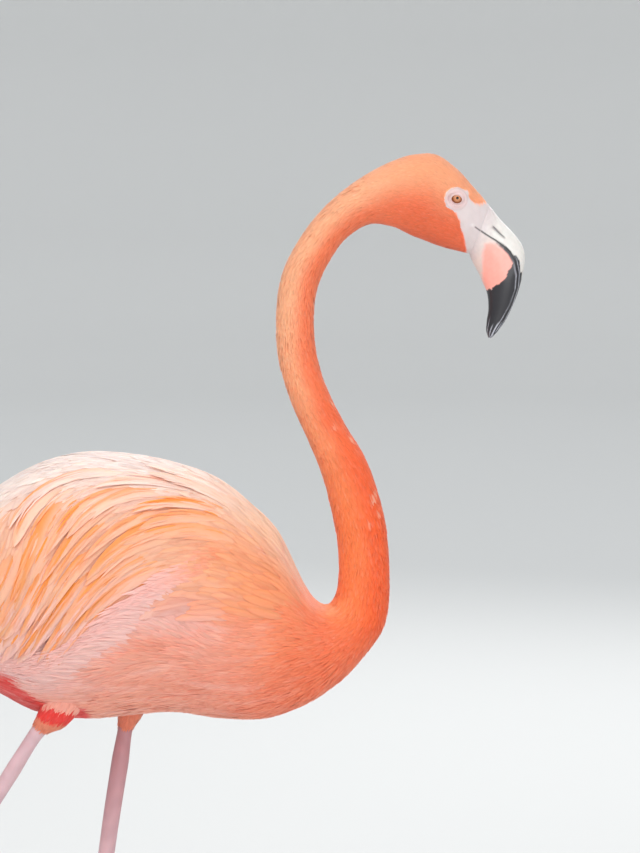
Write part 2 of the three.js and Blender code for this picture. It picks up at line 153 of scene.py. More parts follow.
class Loft:
    """A smooth tube through sections; t counts the sections and turn goes round from the back."""

    def __init__(self, stations: Sequence[Station]) -> None:
        """Keep the sections as rows of numbers.

        Args:
            stations: The sections in order.
        """
        rows = [(s.x + SHIFT, s.y, s.z, s.tilt, s.deep, s.wide, s.egg) for s in stations]
        self.rows = np.array(rows, float)
        self.last = len(rows) - 1

    def at(self, t: Array) -> Array:
        """Read a smooth curve through all the sections.

        Args:
            t: Fractional section numbers.

        Returns:
            One row of numbers for each t.
        """
        t = np.clip(np.asarray(t, float), 0.0, self.last)
        i = np.minimum(t.astype(int), self.last - 1)
        w = (t - i)[..., None]
        p = [self.rows[np.clip(i + k, 0, self.last)] for k in (-1, 0, 1, 2)]
        v0, v1 = (p[2] - p[0]) * 0.5, (p[3] - p[1]) * 0.5
        cubic = (2 * p[1] - 2 * p[2] + v0 + v1) * w**3
        square = (-3 * p[1] + 3 * p[2] - 2 * v0 - v1) * w**2
        return cubic + square + v0 * w + p[1]

    def surface(self, t: Array, turn: Array, grow: Array | float = 0.0) -> Array:
        """Find points on the tube.

        Args:
            t: Fractional section numbers.
            turn: Angles from the back, towards the bird's left, in radians.
            grow: How far the tube is swollen there, in millimetres.

        Returns:
            Points in metres.
        """
        t, turn, grow = np.broadcast_arrays(t, turn, grow)
        r = self.at(t)
        lean = np.radians(r[..., 3])
        up = np.maximum(r[..., 4] + grow, 0.2) * np.cos(turn)
        out = np.maximum(r[..., 5] + grow, 0.2) * np.sin(turn) * (1.0 + r[..., 6] * np.cos(turn))
        x = r[..., 0] - up * np.sin(lean)
        z = r[..., 2] + up * np.cos(lean)
        return np.stack([x, r[..., 1] + out, z], axis=-1) * MM

    def axes(self, t: Array, turn: Array) -> tuple[Array, Array, Array]:
        """Find the surface's own directions.

        Args:
            t: Fractional section numbers.
            turn: Angles round the tube.

        Returns:
            The change of place with t, the change with turn, and the outward normal.
        """
        a, b = 0.02, 0.01
        along = (self.surface(t + a, turn) - self.surface(t - a, turn)) / (2 * a)
        around = (self.surface(t, turn + b) - self.surface(t, turn - b)) / (2 * b)
        return along, around, unit(np.cross(along, around))


BODY = Loft(
    [
        Station(-296, 606, 8, 13, 9), Station(-279, 615, 4, 28, 28, 0.05),
        Station(-249, 628, 3, 52, 49, 0.08), Station(-217, 637, 2, 75, 66, 0.1),
        Station(-187, 641, 1, 96, 78, 0.12), Station(-152, 643, 0, 114, 86, 0.12),
        Station(-112, 645, 0, 122, 89, 0.12), Station(-70, 646, 0, 119, 89, 0.1),
        Station(-29, 643, 0, 114, 86, 0.08), Station(9, 634, 1, 110, 81, 0.05),
        Station(43, 622, 3, 99, 73, 0.02), Station(73, 614, 7, 81, 61), Station(97, 606, 18, 56, 46, -0.03),
        Station(116, 607, 41, 37, 34, -0.03), Station(131, 617, 70, 30, 27), Station(138, 632, 88, 26, 23),
        Station(140.5, 651, 95, 24, 21.5), Station(140, 678, 96, 23.3, 21),
        Station(135.5, 709, 100, 23.3, 20.5), Station(123.5, 751, 111, 21.8, 19.5),
        Station(107, 785, 112, 18.8, 17.5), Station(90.5, 820, 110, 17.8, 17),
        Station(80.4, 855, 99, 17.9, 16.8), Station(78.4, 891, 90, 17.5, 16.6),
        Station(83, 922.5, 75, 17.5, 16.6), Station(97, 951, 59, 17.2, 16.6),
        Station(114.6, 973.5, 43, 17.3, 16.8), Station(138.5, 991, 20, 20.4, 17.6),
        Station(161.5, 997.5, 7, 28, 19.8, 0.04), Station(181, 998, 0, 35.5, 21.8, 0.08),
        Station(199.3, 995.6, -6, 38.8, 22.6, 0.08), Station(216, 987, -9, 35.9, 21.4, 0.05),
        Station(230.5, 977, -13, 29.6, 18.4), Station(242.7, 967.4, -22, 23.5, 14.2),
    ]
)


def outline_distance(p: Array, corners: Corners) -> Array:
    """Measure how far inside a side-view outline points lie.

    Args:
        p: Points in metres.
        corners: The outline's corners, X and Z in millimetres.

    Returns:
        Millimetres inside the outline, below 0 outside it.
    """
    q = p[..., (0, 2)] / MM
    c = np.array(corners, float)
    inside = np.zeros(q.shape[:-1], bool)
    nearest = np.full(q.shape[:-1], 1e9)
    for a, b in zip(c, np.roll(c, -1, axis=0)):
        d = b - a
        s = np.clip(((q - a) @ d) / (d @ d), 0.0, 1.0)
        nearest = np.minimum(nearest, np.linalg.norm(q - a - s[..., None] * d, axis=-1))
        crosses = (a[1] > q[..., 1]) != (b[1] > q[..., 1])
        rise = np.where(abs(d[1]) > 1e-9, d[1], 1e-9)
        inside ^= crosses & (q[..., 0] < a[0] + (q[..., 1] - a[1]) * d[0] / rise)
    return np.where(inside, nearest, -nearest)


@dataclass(frozen=True)
class Form:
    """The bird's form under its feathers: how deep the coat is, and where the bare face is."""

    eye: Pair = (233.4, 994.4)
    ring: float = 10.5
    bare_face: Corners = (
        (262.5, 992.0), (258.0, 990.0), (252.5, 990.0), (248.0, 992.0), (244.5, 997.0),
        (243.5, 1003.0), (236.0, 1000.0), (229.0, 988.5), (233.0, 982.0), (237.0, 974.5),
        (239.2, 965.5), (241.5, 956.5), (244.5, 944.0), (262.0, 940.0), (275.0, 975.0),
    )
    gape: Corners = ((257.0, 965.2), (250.4, 969.8))
    gape_corner: Pair = (247.8, 971.5)

    def hem(self, x: Array) -> Array:
        """Say how high the folded wings' lower edge hangs at a place along the trunk, in millimetres."""
        along = [-300, -200, -150, -118, -91, -69, -47, -30, -12, 20, 60]
        return np.interp(x, along, [590, 588, 586, 588, 606, 622, 640, 652, 664, 672, 690])

    def corner(self, p: Array) -> tuple[Array, Array]:
        """Find the groove and the small swelling of skin where the bill's parting ends.

        Args:
            p: Points, in metres.

        Returns:
            The shares of the groove and of the swelling.
        """
        q = p[..., (0, 2)] / MM
        a, b = np.array(self.gape[0]), np.array(self.gape[1])
        share = np.clip(((q - a) @ (b - a)) / ((b - a) @ (b - a)), 0.0, 1.0)
        off = np.linalg.norm(q - a - share[..., None] * (b - a), axis=-1)
        swelling = np.exp(-((np.linalg.norm(q - np.array(self.gape_corner), axis=-1) / 1.5) ** 2))
        return np.exp(-((off / 0.65) ** 2)), swelling

    def coat_depth(self, t: Array, turn: Array) -> Array:
        """Say how deep the coat is.

        Args:
            t: Fractional section numbers on the body.
            turn: Angles from the back.

        Returns:
            Depths in millimetres.
        """
        where = [0, 1, 3, 6, 11, 13, 15, 18, 24, 28, 30, 31.5, 33]
        depth = [1.4, 2.4, 3.2, 3.4, 3.2, 2.6, 2.2, 2.0, 1.8, 1.4, 1.1, 0.8, 0.2]
        full = np.interp(t, where, depth)
        return np.where(self.bare(t, turn) > 0, np.minimum(full, 0.25), full)

    def bare(self, t: Array, turn: Array) -> Array:
        """Say how far inside the bare face and eye ring places lie.

        Args:
            t: Fractional section numbers on the body.
            turn: Angles from the back.

        Returns:
            Millimetres, below 0 outside.
        """
        p = BODY.surface(t, turn)
        q = p[..., (0, 2)] / MM
        ring = self.ring - np.linalg.norm(q - np.array(self.eye), axis=-1)
        face = outline_distance(p, self.bare_face)
        return np.where(np.asarray(t) > FACE_START, np.maximum(ring, face), -99.0)


FORM = Form()


def tuft(t: Array, turn: Array, wave: float, seed: float = 6.0) -> Array:
    """Gather the trunk's, neck's and head's plumage in soft tufts that lie along it.

    Args:
        t: Fractional section numbers on the body.
        turn: Angles from the back.
        wave: How wide a tuft is, in millimetres.
        seed: A number that shifts the tufts.

    Returns:
        From -1 in a hollow to 1 on a tuft.
    """
    p = BODY.surface(t, turn)
    lie = np.where(np.asarray(t) < 14.0, 0.4, 0.7)
    return ripple(np.stack([p[..., 0] * lie, p[..., 1], p[..., 2]], -1), wave * MM, seed)


# ---------- markings


@dataclass(frozen=True)
class Markings:
    """The plumage's colours, the same for the skin and the coat."""

    crown: Array = tone(250, 162, 116)
    cheek: Array = tone(240, 108, 68)
    nape: Array = tone(250, 169, 125)
    throat: Array = tone(250, 122, 80)
    collar: Array = tone(250, 119, 66)
    bib: Array = tone(248, 94, 46)
    breast: Array = tone(252, 118, 78)
    # The tone of the painted shadow in the notch where the neck meets the back.
    notch: Array = tone(250, 160, 108)
    flank: Array = tone(247, 156, 132)
    belly: Array = tone(247, 152, 126)
    fluff: Array = tone(246, 186, 174)
    rear: Array = tone(240, 190, 184)
    mantle: Array = tone(252, 218, 204)
    saddle: Array = tone(252, 184, 146)
    shoulder: Array = tone(250, 144, 100)
    vent: Array = tone(234, 58, 52)
    face: Array = tone(202, 188, 187)
    lid: Array = tone(214, 182, 180)
    # The tone of the painted shade in the folds about the eye.
    fold: Array = tone(176, 120, 116)
    fleck: Array = tone(253, 190, 160)
    white: Array = tone(236, 228, 226)
    slate: Array = tone(52, 46, 50)
    thigh_low: Array = tone(230, 128, 98)
    loose_pink: Array = tone(248, 184, 172)
    plume_deep: Array = tone(250, 140, 60)
    plume_pale: Array = tone(248, 174, 142)

    def plumage(self, t: Array, turn: Array) -> Array:
        """Colour the feathered body, with painted shade in the hollows between its tufts and a painted shadow
        in the notch where the neck meets the back.

        Args:
            t: Fractional section numbers on the body.
            turn: Angles from the back.

        Returns:
            Linear colours.
        """
        p = BODY.surface(t, turn)
        x, z = p[..., 0] / MM, p[..., 2] / MM
        low = 1.0 - np.cos(turn)  # 0 on the back, 2 on the belly
        wob = 0.12 * ripple(p, 0.02)
        high_neck = blend(self.nape, self.throat, ease(0.5, 1.6, low + wob))
        low_neck = blend(self.collar, self.bib, ease(0.6, 1.5, low + wob))
        head = blend(self.crown, self.cheek, ease(0.35, 1.45, low + wob))
        neck = blend(low_neck, high_neck, ease(17.5, 23.5, t))
        upper = blend(neck, head, ease(26.5, 29.5, t))
        spots = ease(0.45, 0.9, ripple(p * np.array([1.0, 1.0, 0.7]), 0.0052, 7.0)) * ease(1.0, 1.5, low)
        upper = blend(upper, self.fleck, 0.5 * spots * ease(16.9, 17.8, t) * ease(22.0, 20.8, t))
        # Painted shadow in the notch where the neck meets the back.
        deep = 0.75 * ease(0.75, 0.15, low) * ease(16.0, 13.5, t) * ease(10.0, 12.5, t)
        upper = blend(upper, self.notch, deep)
        side = blend(self.shoulder, self.flank, ease(0.75, 1.1, low + wob) * ease(11.5, 8.5, t))
        side = blend(side, self.belly, ease(1.2, 1.75, low))
        side = blend(side, self.rear, ease(1.0, 1.2, low + wob) * ease(1.9, 1.6, low) * ease(7.6, 4.2, t))
        side = blend(side, self.breast, ease(9.2, 12.6, t + 1.6 * (low - 1.1)))
        side = blend(side, self.mantle, ease(0.5, 0.05, low) * ease(12.8, 9.0, t))
        side = blend(side, self.fluff, 0.6 * ease(0.9, 1.05, low) * ease(1.35, 1.15, low) * ease(9.6, 8.0, t))
        line = ([-300, -240, -183, -160, -139, -99, -90], [604, 600, 587, 563, 545, 541, 500])
        edge = np.interp(x - SHIFT, *line)
        body = blend(side, self.vent, ease(4.0, -4.0, z - edge + 3.0 * ripple(p, 0.01)))
        colour = blend(body, upper, ease(12.0, 14.5, t))
        streak = ripple(p * np.array([0.16, 1.0, 1.0]), 0.0042, 1.0) * ease(14.0, 11.0, t)
        colour = blend(colour, self.loose_pink, np.clip(0.28 * streak, 0.0, 1.0) * ease(12.5, 9.0, t))
        # Painted shade: darker, warmer colour in the hollows between the tufts of the breast and flank.
        hollow = tuft(t, turn, 9.0) * ease(14.0, 11.0, t)
        colour = blend(colour, colour * np.array([0.93, 0.8, 0.74]), 0.5 * np.clip(-hollow, 0.0, 1.0))
        return np.clip(colour * (1.0 + 0.03 * ripple(p, 0.012, 1.0) + 0.04 * streak)[..., None], 0.0, 1.0)

    def cloak(self, t: Array, turn: Array) -> Array:
        """Colour the long feathers over the back and wings.

        Args:
            t: Section numbers on the body.
            turn: Angles from the back.

        Returns:
            Linear colours.
        """
        a = np.degrees(np.abs(turn))
        p = BODY.surface(t, turn)
        colour = blend(self.mantle, self.plume_pale, ease(16, 55, a))
        colour = blend(colour, self.saddle, ease(7.5, 11.0, t))
        colour = blend(colour, self.shoulder, ease(7.4, 10.6, t) * ease(22, 62, a))
        colour = blend(colour, self.plumage(t, turn), ease(10.4, 12.6, t) * ease(10, 45, a))
        colour = blend(colour, self.loose_pink, 0.8 * ease(68, 96, a) * ease(10.2, 8.4, t))
        colour = blend(colour, self.plumage(t, turn), ease(72, 92, a) * ease(6.6, 8.8, t))
        streak = ripple(p * np.array([0.3, 1.0, 1.0]), 0.006, 3.0)
        return colour * (1.0 + 0.05 * streak)[..., None]

    def loose(self, t: Array, turn: Array) -> Array:
        """Colour the loose flank feathers.

        Args:
            t: Section numbers on the body.
            turn: Angles from the back.

        Returns:
            Linear colours.
        """
        p = BODY.surface(t, turn) / MM
        below = FORM.hem(p[..., 0] - SHIFT) - p[..., 2]
        like_body = np.maximum(ease(2.0, 24.0, below), ease(7.5, 9.5, t))
        return blend(self.loose_pink, self.plumage(t, turn), like_body)

    def bare_skin(self, p: Array) -> Array:
        """Colour the bare face: pale, pinker about the eye, with soft mottling, and painted shade in the
        folds about the eye, strongest above it, and at the lids' inner rim.

        Args:
            p: Points, in metres.

        Returns:
            Linear colours.
        """
        r = np.linalg.norm(p[:, (0, 2)] / MM - np.array(FORM.eye), axis=1)
        colour = blend(self.face, self.lid, ease(11.0, 7.0, r) * 0.8)
        # Painted shade: the fold tone darkens the skin's folds about the eye, more above the eye than below,
        # and the rim where the lids turn in.
        above = 0.4 + 0.6 * ease(-4.0, 6.0, p[:, 2] / MM - FORM.eye[1])
        rings = 0.32 * np.exp(-(((r - 9.5) / 0.5) ** 2)) + 0.12 * np.exp(-(((r - 6.9) / 0.5) ** 2))
        colour = blend(colour, self.fold, rings * above + 0.4 * ease(5.0, 4.2, r))
        groove, swelling = FORM.corner(p)
        colour = blend(blend(colour, self.white, 0.35 * swelling), self.slate, 0.85 * groove)
        return colour * (1.0 + 0.04 * ripple(p, 0.003, 5.0))[:, None]

    def thigh(self, p: Array) -> Array:
        """Colour the thighs: orange below, with the vent's crimson where they leave the flank.

        Args:
            p: Points on the thighs, in metres.

        Returns:
            Linear colours.
        """
        x, y, z = p[..., 0] / MM - SHIFT, p[..., 1] / MM, p[..., 2] / MM
        hem = np.interp(x, [-170, -155, -147, -134, -122, -113], [549, 540, 532.5, 528.5, 528, 531])
        top = np.interp(x, [-160, -148.5, -134.5, -126.5, -113], [554, 546.5, 544, 541, 539])
        outer = np.maximum(ease(24.0, 32.0, -y), ease(40.0, 46.0, y))
        rag = 1.2 * ripple(p, 0.008) + 0.8 * ripple(p, 0.003, 2.0)
        colour = blend(self.thigh_low, self.vent, outer * ease(-1.5, 2.5, z - hem + rag))
        return blend(colour, blend(self.rear, self.belly, 0.8), outer * ease(-1.0, 1.5, z - top + rag))

    def flight(self, t: Array, turn: Array) -> Array:
        """Colour the flight feathers."""
        return np.tile(srgb(30, 28, 31), (len(t), 1))

    def tail(self, t: Array, turn: Array) -> Array:
        """Colour the tail."""
        return blend(self.plume_pale, self.rear, 0.5 + 0.5 * np.cos(3.0 * turn + t))

    def skin(self, t: Array, turn: Array) -> Array:
        """Colour the body's skin: the plumage's colour, and the bare pale face."""
        return blend(self.plumage(t, turn), self.face, ease(-0.6, 0.6, FORM.bare(t, turn)))


MARKS = Markings()


# ---------- finishes


@dataclass(frozen=True)
class Finish:
    """A satin surface that takes its colour from the piece's own tint."""

    name: str
    roughness: float
    sheen: float = 0.0
    coat: float = 0.0
    specular: float = 0.5
    subsurface: float = 0.0
    grain: float = 0.0
    grain_size: float = 400.0
    vane_lines: float = 0.0

    def make(self) -> bpy.types.Material:
        """Build the material.

        Returns:
            The material, with its fine relief if it has any.
        """
        material = bpy.data.materials.new(self.name)
        material.use_nodes = True
        nodes, links = material.node_tree.nodes, material.node_tree.links
        shader = nodes["Principled BSDF"]
        settings = {
            "Roughness": self.roughness,
            "Specular IOR Level": self.specular,
            "Sheen Weight": self.sheen,
            "Sheen Roughness": 0.45,
            "Coat Weight": self.coat,
            "Coat Roughness": 0.08,
            "Subsurface Weight": self.subsurface,
            "Subsurface Scale": 0.004,
            "Subsurface Radius": (1.0, 0.4, 0.25),
        }
        for setting, value in settings.items():
            shader.inputs[setting].default_value = value
        tint = nodes.new("ShaderNodeVertexColor")
        tint.layer_name = TINT
        links.new(tint.outputs["Color"], shader.inputs["Base Color"])
        if self.grain or self.vane_lines:
            bump = nodes.new("ShaderNodeBump")
            bump.inputs["Strength"].default_value = self.grain or self.vane_lines
            bump.inputs["Distance"].default_value = 0.0004
            links.new(bump.outputs["Normal"], shader.inputs["Normal"])
            pattern = self._lines(nodes, links) if self.vane_lines else self._speckle(nodes, links)
            links.new(pattern, bump.inputs["Height"])
        return material

    def _speckle(self, nodes: bpy.types.Nodes, links: bpy.types.NodeLinks) -> bpy.types.NodeSocket:
        """A fine pebbled relief in the object's own space.

        Args:
            nodes: The material's nodes.
            links: The material's links.

        Returns:
            The height socket.
        """
        place = nodes.new("ShaderNodeTexCoord")
        noise = nodes.new("ShaderNodeTexNoise")
        noise.inputs["Scale"].default_value = self.grain_size
        noise.inputs["Detail"].default_value = 4.0
        links.new(place.outputs["Object"], noise.inputs["Vector"])
        return noise.outputs["Fac"]

    def _lines(self, nodes: bpy.types.Nodes, links: bpy.types.NodeLinks) -> bpy.types.NodeSocket:
        """The barbs of a vane, as slanting lines on its own map.

        Args:
            nodes: The material's nodes.
            links: The material's links.

        Returns:
            The height socket.
        """
        place = nodes.new("ShaderNodeUVMap")
        place.uv_map = "Vane"
        wave = nodes.new("ShaderNodeTexWave")
        wave.bands_direction = "DIAGONAL"
        wave.inputs["Scale"].default_value = 14.0
        wave.inputs["Distortion"].default_value = 3.0
        wave.inputs["Detail"].default_value = 2.0
        links.new(place.outputs["UV"], wave.inputs["Vector"])
        return wave.outputs["Fac"]


# ---------- building helpers


def put(name: str, data: bpy.types.ID) -> Piece:
    """Put a mesh, a light or a camera into the scene.

    Args:
        name: The new object's name.
        data: What it shows.

    Returns:
        The object.
    """
    thing = bpy.data.objects.new(name, data)
    bpy.context.scene.collection.objects.link(thing)
    return thing


def add_object(name: str, bm: Mesh, material: bpy.types.Material, crease: float = 180.0) -> Piece:
    """Turn a finished bmesh into a piece of the bird.

    Args:
        name: The piece's name.
        bm: Its mesh, which is freed.
        material: Its material.
        crease: The angle, in degrees, past which an edge stays sharp.

    Returns:
        The piece, in the scene.
    """
    bmesh.ops.recalc_face_normals(bm, faces=bm.faces)
    mesh = bpy.data.meshes.new(name)
    bm.to_mesh(mesh)
    bm.free()
    mesh.shade_smooth()
    if crease < 180.0:
        mesh.set_sharp_from_angle(angle=math.radians(crease))
    mesh.materials.append(material)
    return put(name, mesh)


def tube(bm: Mesh, rings: Array, poke: bool = True) -> list[list[bmesh.types.BMVert]]:
    """Make a closed tube through rings of points.

    Args:
        bm: The mesh to add to.
        rings: Points, as ring by point by place.
        poke: Whether each end is closed with a fan rather than one face.

    Returns:
        The vertices of each ring.
    """
    around = rings.shape[1]
    loops: list[list[bmesh.types.BMVert]] = []
    edges: list[list[bmesh.types.BMEdge]] = []
    for ring in rings:
        made = bmesh.ops.create_circle(bm, segments=around, radius=1.0)["verts"]
        for vertex, place in zip(made, ring):
            vertex.co = Vector(place)
        loops.append(made)
        edges.append(list({e for v in made for e in v.link_edges}))
    for a, b in zip(edges, edges[1:]):
        bmesh.ops.bridge_loops(bm, edges=a + b)
    for loop in (loops[0], loops[-1]):
        face = bmesh.ops.contextual_create(bm, geom=loop)["faces"]
        if poke:
            bmesh.ops.poke(bm, faces=face)
    return loops


def wrap(bm: Mesh, rings: Array) -> None:
    """Make a closed surface through uneven rings, each point joined to its own neighbours.

    Args:
        bm: The mesh to add to.
        rings: Points, as ring by point by place; the first and the last ring are each one point.
    """
    many, around = rings.shape[:2]
    made = bmesh.ops.create_grid(bm, x_segments=around, y_segments=many - 1, size=1.0)["verts"]
    made.sort(key=lambda v: (round(v.co.y, 6), round(v.co.x, 6)))
    closed = np.concatenate([rings, rings[:, :1]], axis=1).reshape(-1, 3)
    for vertex, place in zip(made, closed, strict=True):
        vertex.co = Vector(place)
    bmesh.ops.remove_doubles(bm, verts=bm.verts, dist=1e-7)


def paint(piece: Piece, colours: Array) -> None:
    """Give a piece its tint, one colour for each vertex.

    Args:
        piece: The piece.
        colours: Linear colours.
    """
    layer = piece.data.color_attributes.new(TINT, "FLOAT_COLOR", "POINT")
    values = np.ones((len(piece.data.vertices), 4), np.float32)
    values[:, :3] = colours
    layer.data.foreach_set("color", values.ravel())


def nearest(sources: Array, points: Array) -> Array:
    """Find the nearest source for each point.

    Args:
        sources: The places to choose from.
        points: The places asked about.

    Returns:
        The numbers of the nearest sources.
    """
    tree = KDTree(len(sources))
    for i, place in enumerate(sources):
        tree.insert(place, i)
    tree.balance()
    return np.array([tree.find(place)[1] for place in points])


def places(piece: Piece) -> Array:
    """Read where a piece's vertices are.

    Args:
        piece: The piece.

    Returns:
        Points in metres.
    """
    co = np.empty(len(piece.data.vertices) * 3)
    piece.data.vertices.foreach_get("co", co)
    return co.reshape(-1, 3)


# ---------- legs and feet


class Side(Enum):
    """The bird's own two sides; the value is the sign of Y."""

    LEFT = 1
    RIGHT = -1

    @property
    def label(self) -> str:
        """The side's name in the names of pieces."""
        return self.name.lower()


@dataclass(frozen=True)
class Stop:
    """One point on a leg's middle line with its half thicknesses, in millimetres."""

    x: float
    y: float
    z: float
    deep: float
    wide: float


def leg_loft(stops: Sequence[Stop]) -> Loft:
    """Set each section of a leg square to the way the leg runs.

    Args:
        stops: The leg from the thigh down to the foot.

    Returns:
        The leg's loft; turn is 0 at the back of the leg.
    """
    stations = []
    for i, s in enumerate(stops):
        a, b = stops[max(i - 1, 0)], stops[min(i + 1, len(stops) - 1)]
        tilt = math.degrees(math.atan2(a.z - b.z, a.x - b.x))
        stations.append(Station(s.x, s.z, tilt, s.deep, s.wide, 0.0, s.y))
    return Loft(stations)


def even(loft: Loft, start: float, end: float, spacing: float) -> Array:
    """Choose section numbers that lie a given distance apart.

    Args:
        loft: The loft they are for.
        start: The first section number.
        end: The last one.
        spacing: The distance, in millimetres.

    Returns:
        Fractional section numbers.
    """
    t = np.linspace(start, end, 2000)
    rows = loft.at(t)
    way = travelled(rows[:, :3])
    count = max(2, round(way[-1] / spacing))
    return np.interp(np.linspace(0, way[-1], count + 1), way, t)


@dataclass(frozen=True)
class Toe:
    """A front toe: its turn from straight ahead towards the outside, in degrees, and its length."""

    turn: float
    length: float

    @property
    def bone(self) -> float:
        """The toe's length without its claw."""
        return self.length - CLAW_LENGTH


TOES = (Toe(-27, 62), Toe(3, 76), Toe(32, 68))  # the inner, the middle and the outer one
CLAW_LENGTH = 9.0
HIND_TURN = 168.0  # the hind toe's turn from straight ahead


@dataclass(frozen=True)
class Leg:
    """One leg: its middle line, the ball of its foot and the way the foot points."""

    side: Side
    stops: tuple[Stop, ...]
    ball: Pair
    heading: float

    @property
    def loft(self) -> Loft:
        """The leg's loft."""
        return leg_loft(self.stops)

    def reach(self, turn: Array | float, length: Array | float, height: Array | float = 0.0) -> Array:
        """Find a place on the foot from its ball.

        Args:
            turn: Degrees from the foot's heading, towards the outside.
            length: How far from the ball, in millimetres.
            height: How high, in millimetres.

        Returns:
            Places in metres.
        """
        turn, length, height = np.broadcast_arrays(turn, length, height)
        angle = np.radians(self.heading + self.side.value * turn)
        x = self.ball[0] + SHIFT + length * np.cos(angle)
        y = self.ball[1] + length * np.sin(angle)
        return np.stack(np.broadcast_arrays(x, y, height), axis=-1) * MM


LEFT_LEG = Leg(
    Side.LEFT,
    (
        Stop(-64, 35, 580, 32, 19), Stop(-70, 35, 545, 21, 14), Stop(-75.5, 34.8, 520, 12.5, 11.3),
        Stop(-80, 34, 504, 8.2, 7.9), Stop(-85.5, 32.8, 470, 8, 7), Stop(-92.7, 31, 425, 7.8, 6.8),
        Stop(-99.5, 29, 378, 7.6, 6.9), Stop(-105, 27.5, 340, 8.4, 7.9), Stop(-107.5, 26.8, 320, 10, 9.6),
        Stop(-108.5, 26.3, 309, 10.6, 10.2), Stop(-104.5, 26, 293, 8.4, 8), Stop(-94, 25.4, 255, 6.8, 6.2),
        Stop(-75, 24, 187, 6.5, 5.6), Stop(-54, 22.4, 110, 6.5, 5.6), Stop(-37, 20.8, 50, 6.8, 6),
        Stop(-28.5, 20, 20, 7.4, 6.8), Stop(-24.6, 19.6, 3.5, 7.6, 7.4),
    ),
    (-24, 19.6),
    -4,
)
RIGHT_LEG = Leg(
    Side.RIGHT,
    (
        Stop(-110, -35, 586, 30, 19), Stop(-126, -34.5, 553, 20, 13.5), Stop(-140, -34.2, 531, 14.5, 11.5),
        Stop(-154, -33.8, 517, 8, 7.8), Stop(-180, -32, 476, 7, 6.6), Stop(-208.5, -29, 431, 6.9, 6.5),
        Stop(-237.5, -25.5, 385, 7.1, 6.7), Stop(-261, -23, 348, 8.1, 7.8), Stop(-271.5, -22, 332, 10, 9.6),
        Stop(-275.5, -21.7, 320, 10.6, 10.2), Stop(-275, -21.5, 303, 8.4, 8),
        Stop(-271.5, -21.2, 263, 6.8, 6.2), Stop(-266, -20.5, 195, 6.5, 5.6),
        Stop(-259.5, -19.8, 117, 6.5, 5.6), Stop(-254, -19.2, 52, 6.8, 6), Stop(-251.3, -19, 20, 7.4, 6.8),
        Stop(-249, -18.8, 3.5, 7.6, 7.4),
    ),
    (-248, -18.8),
    3,
)
LEGS = (LEFT_LEG, RIGHT_LEG)


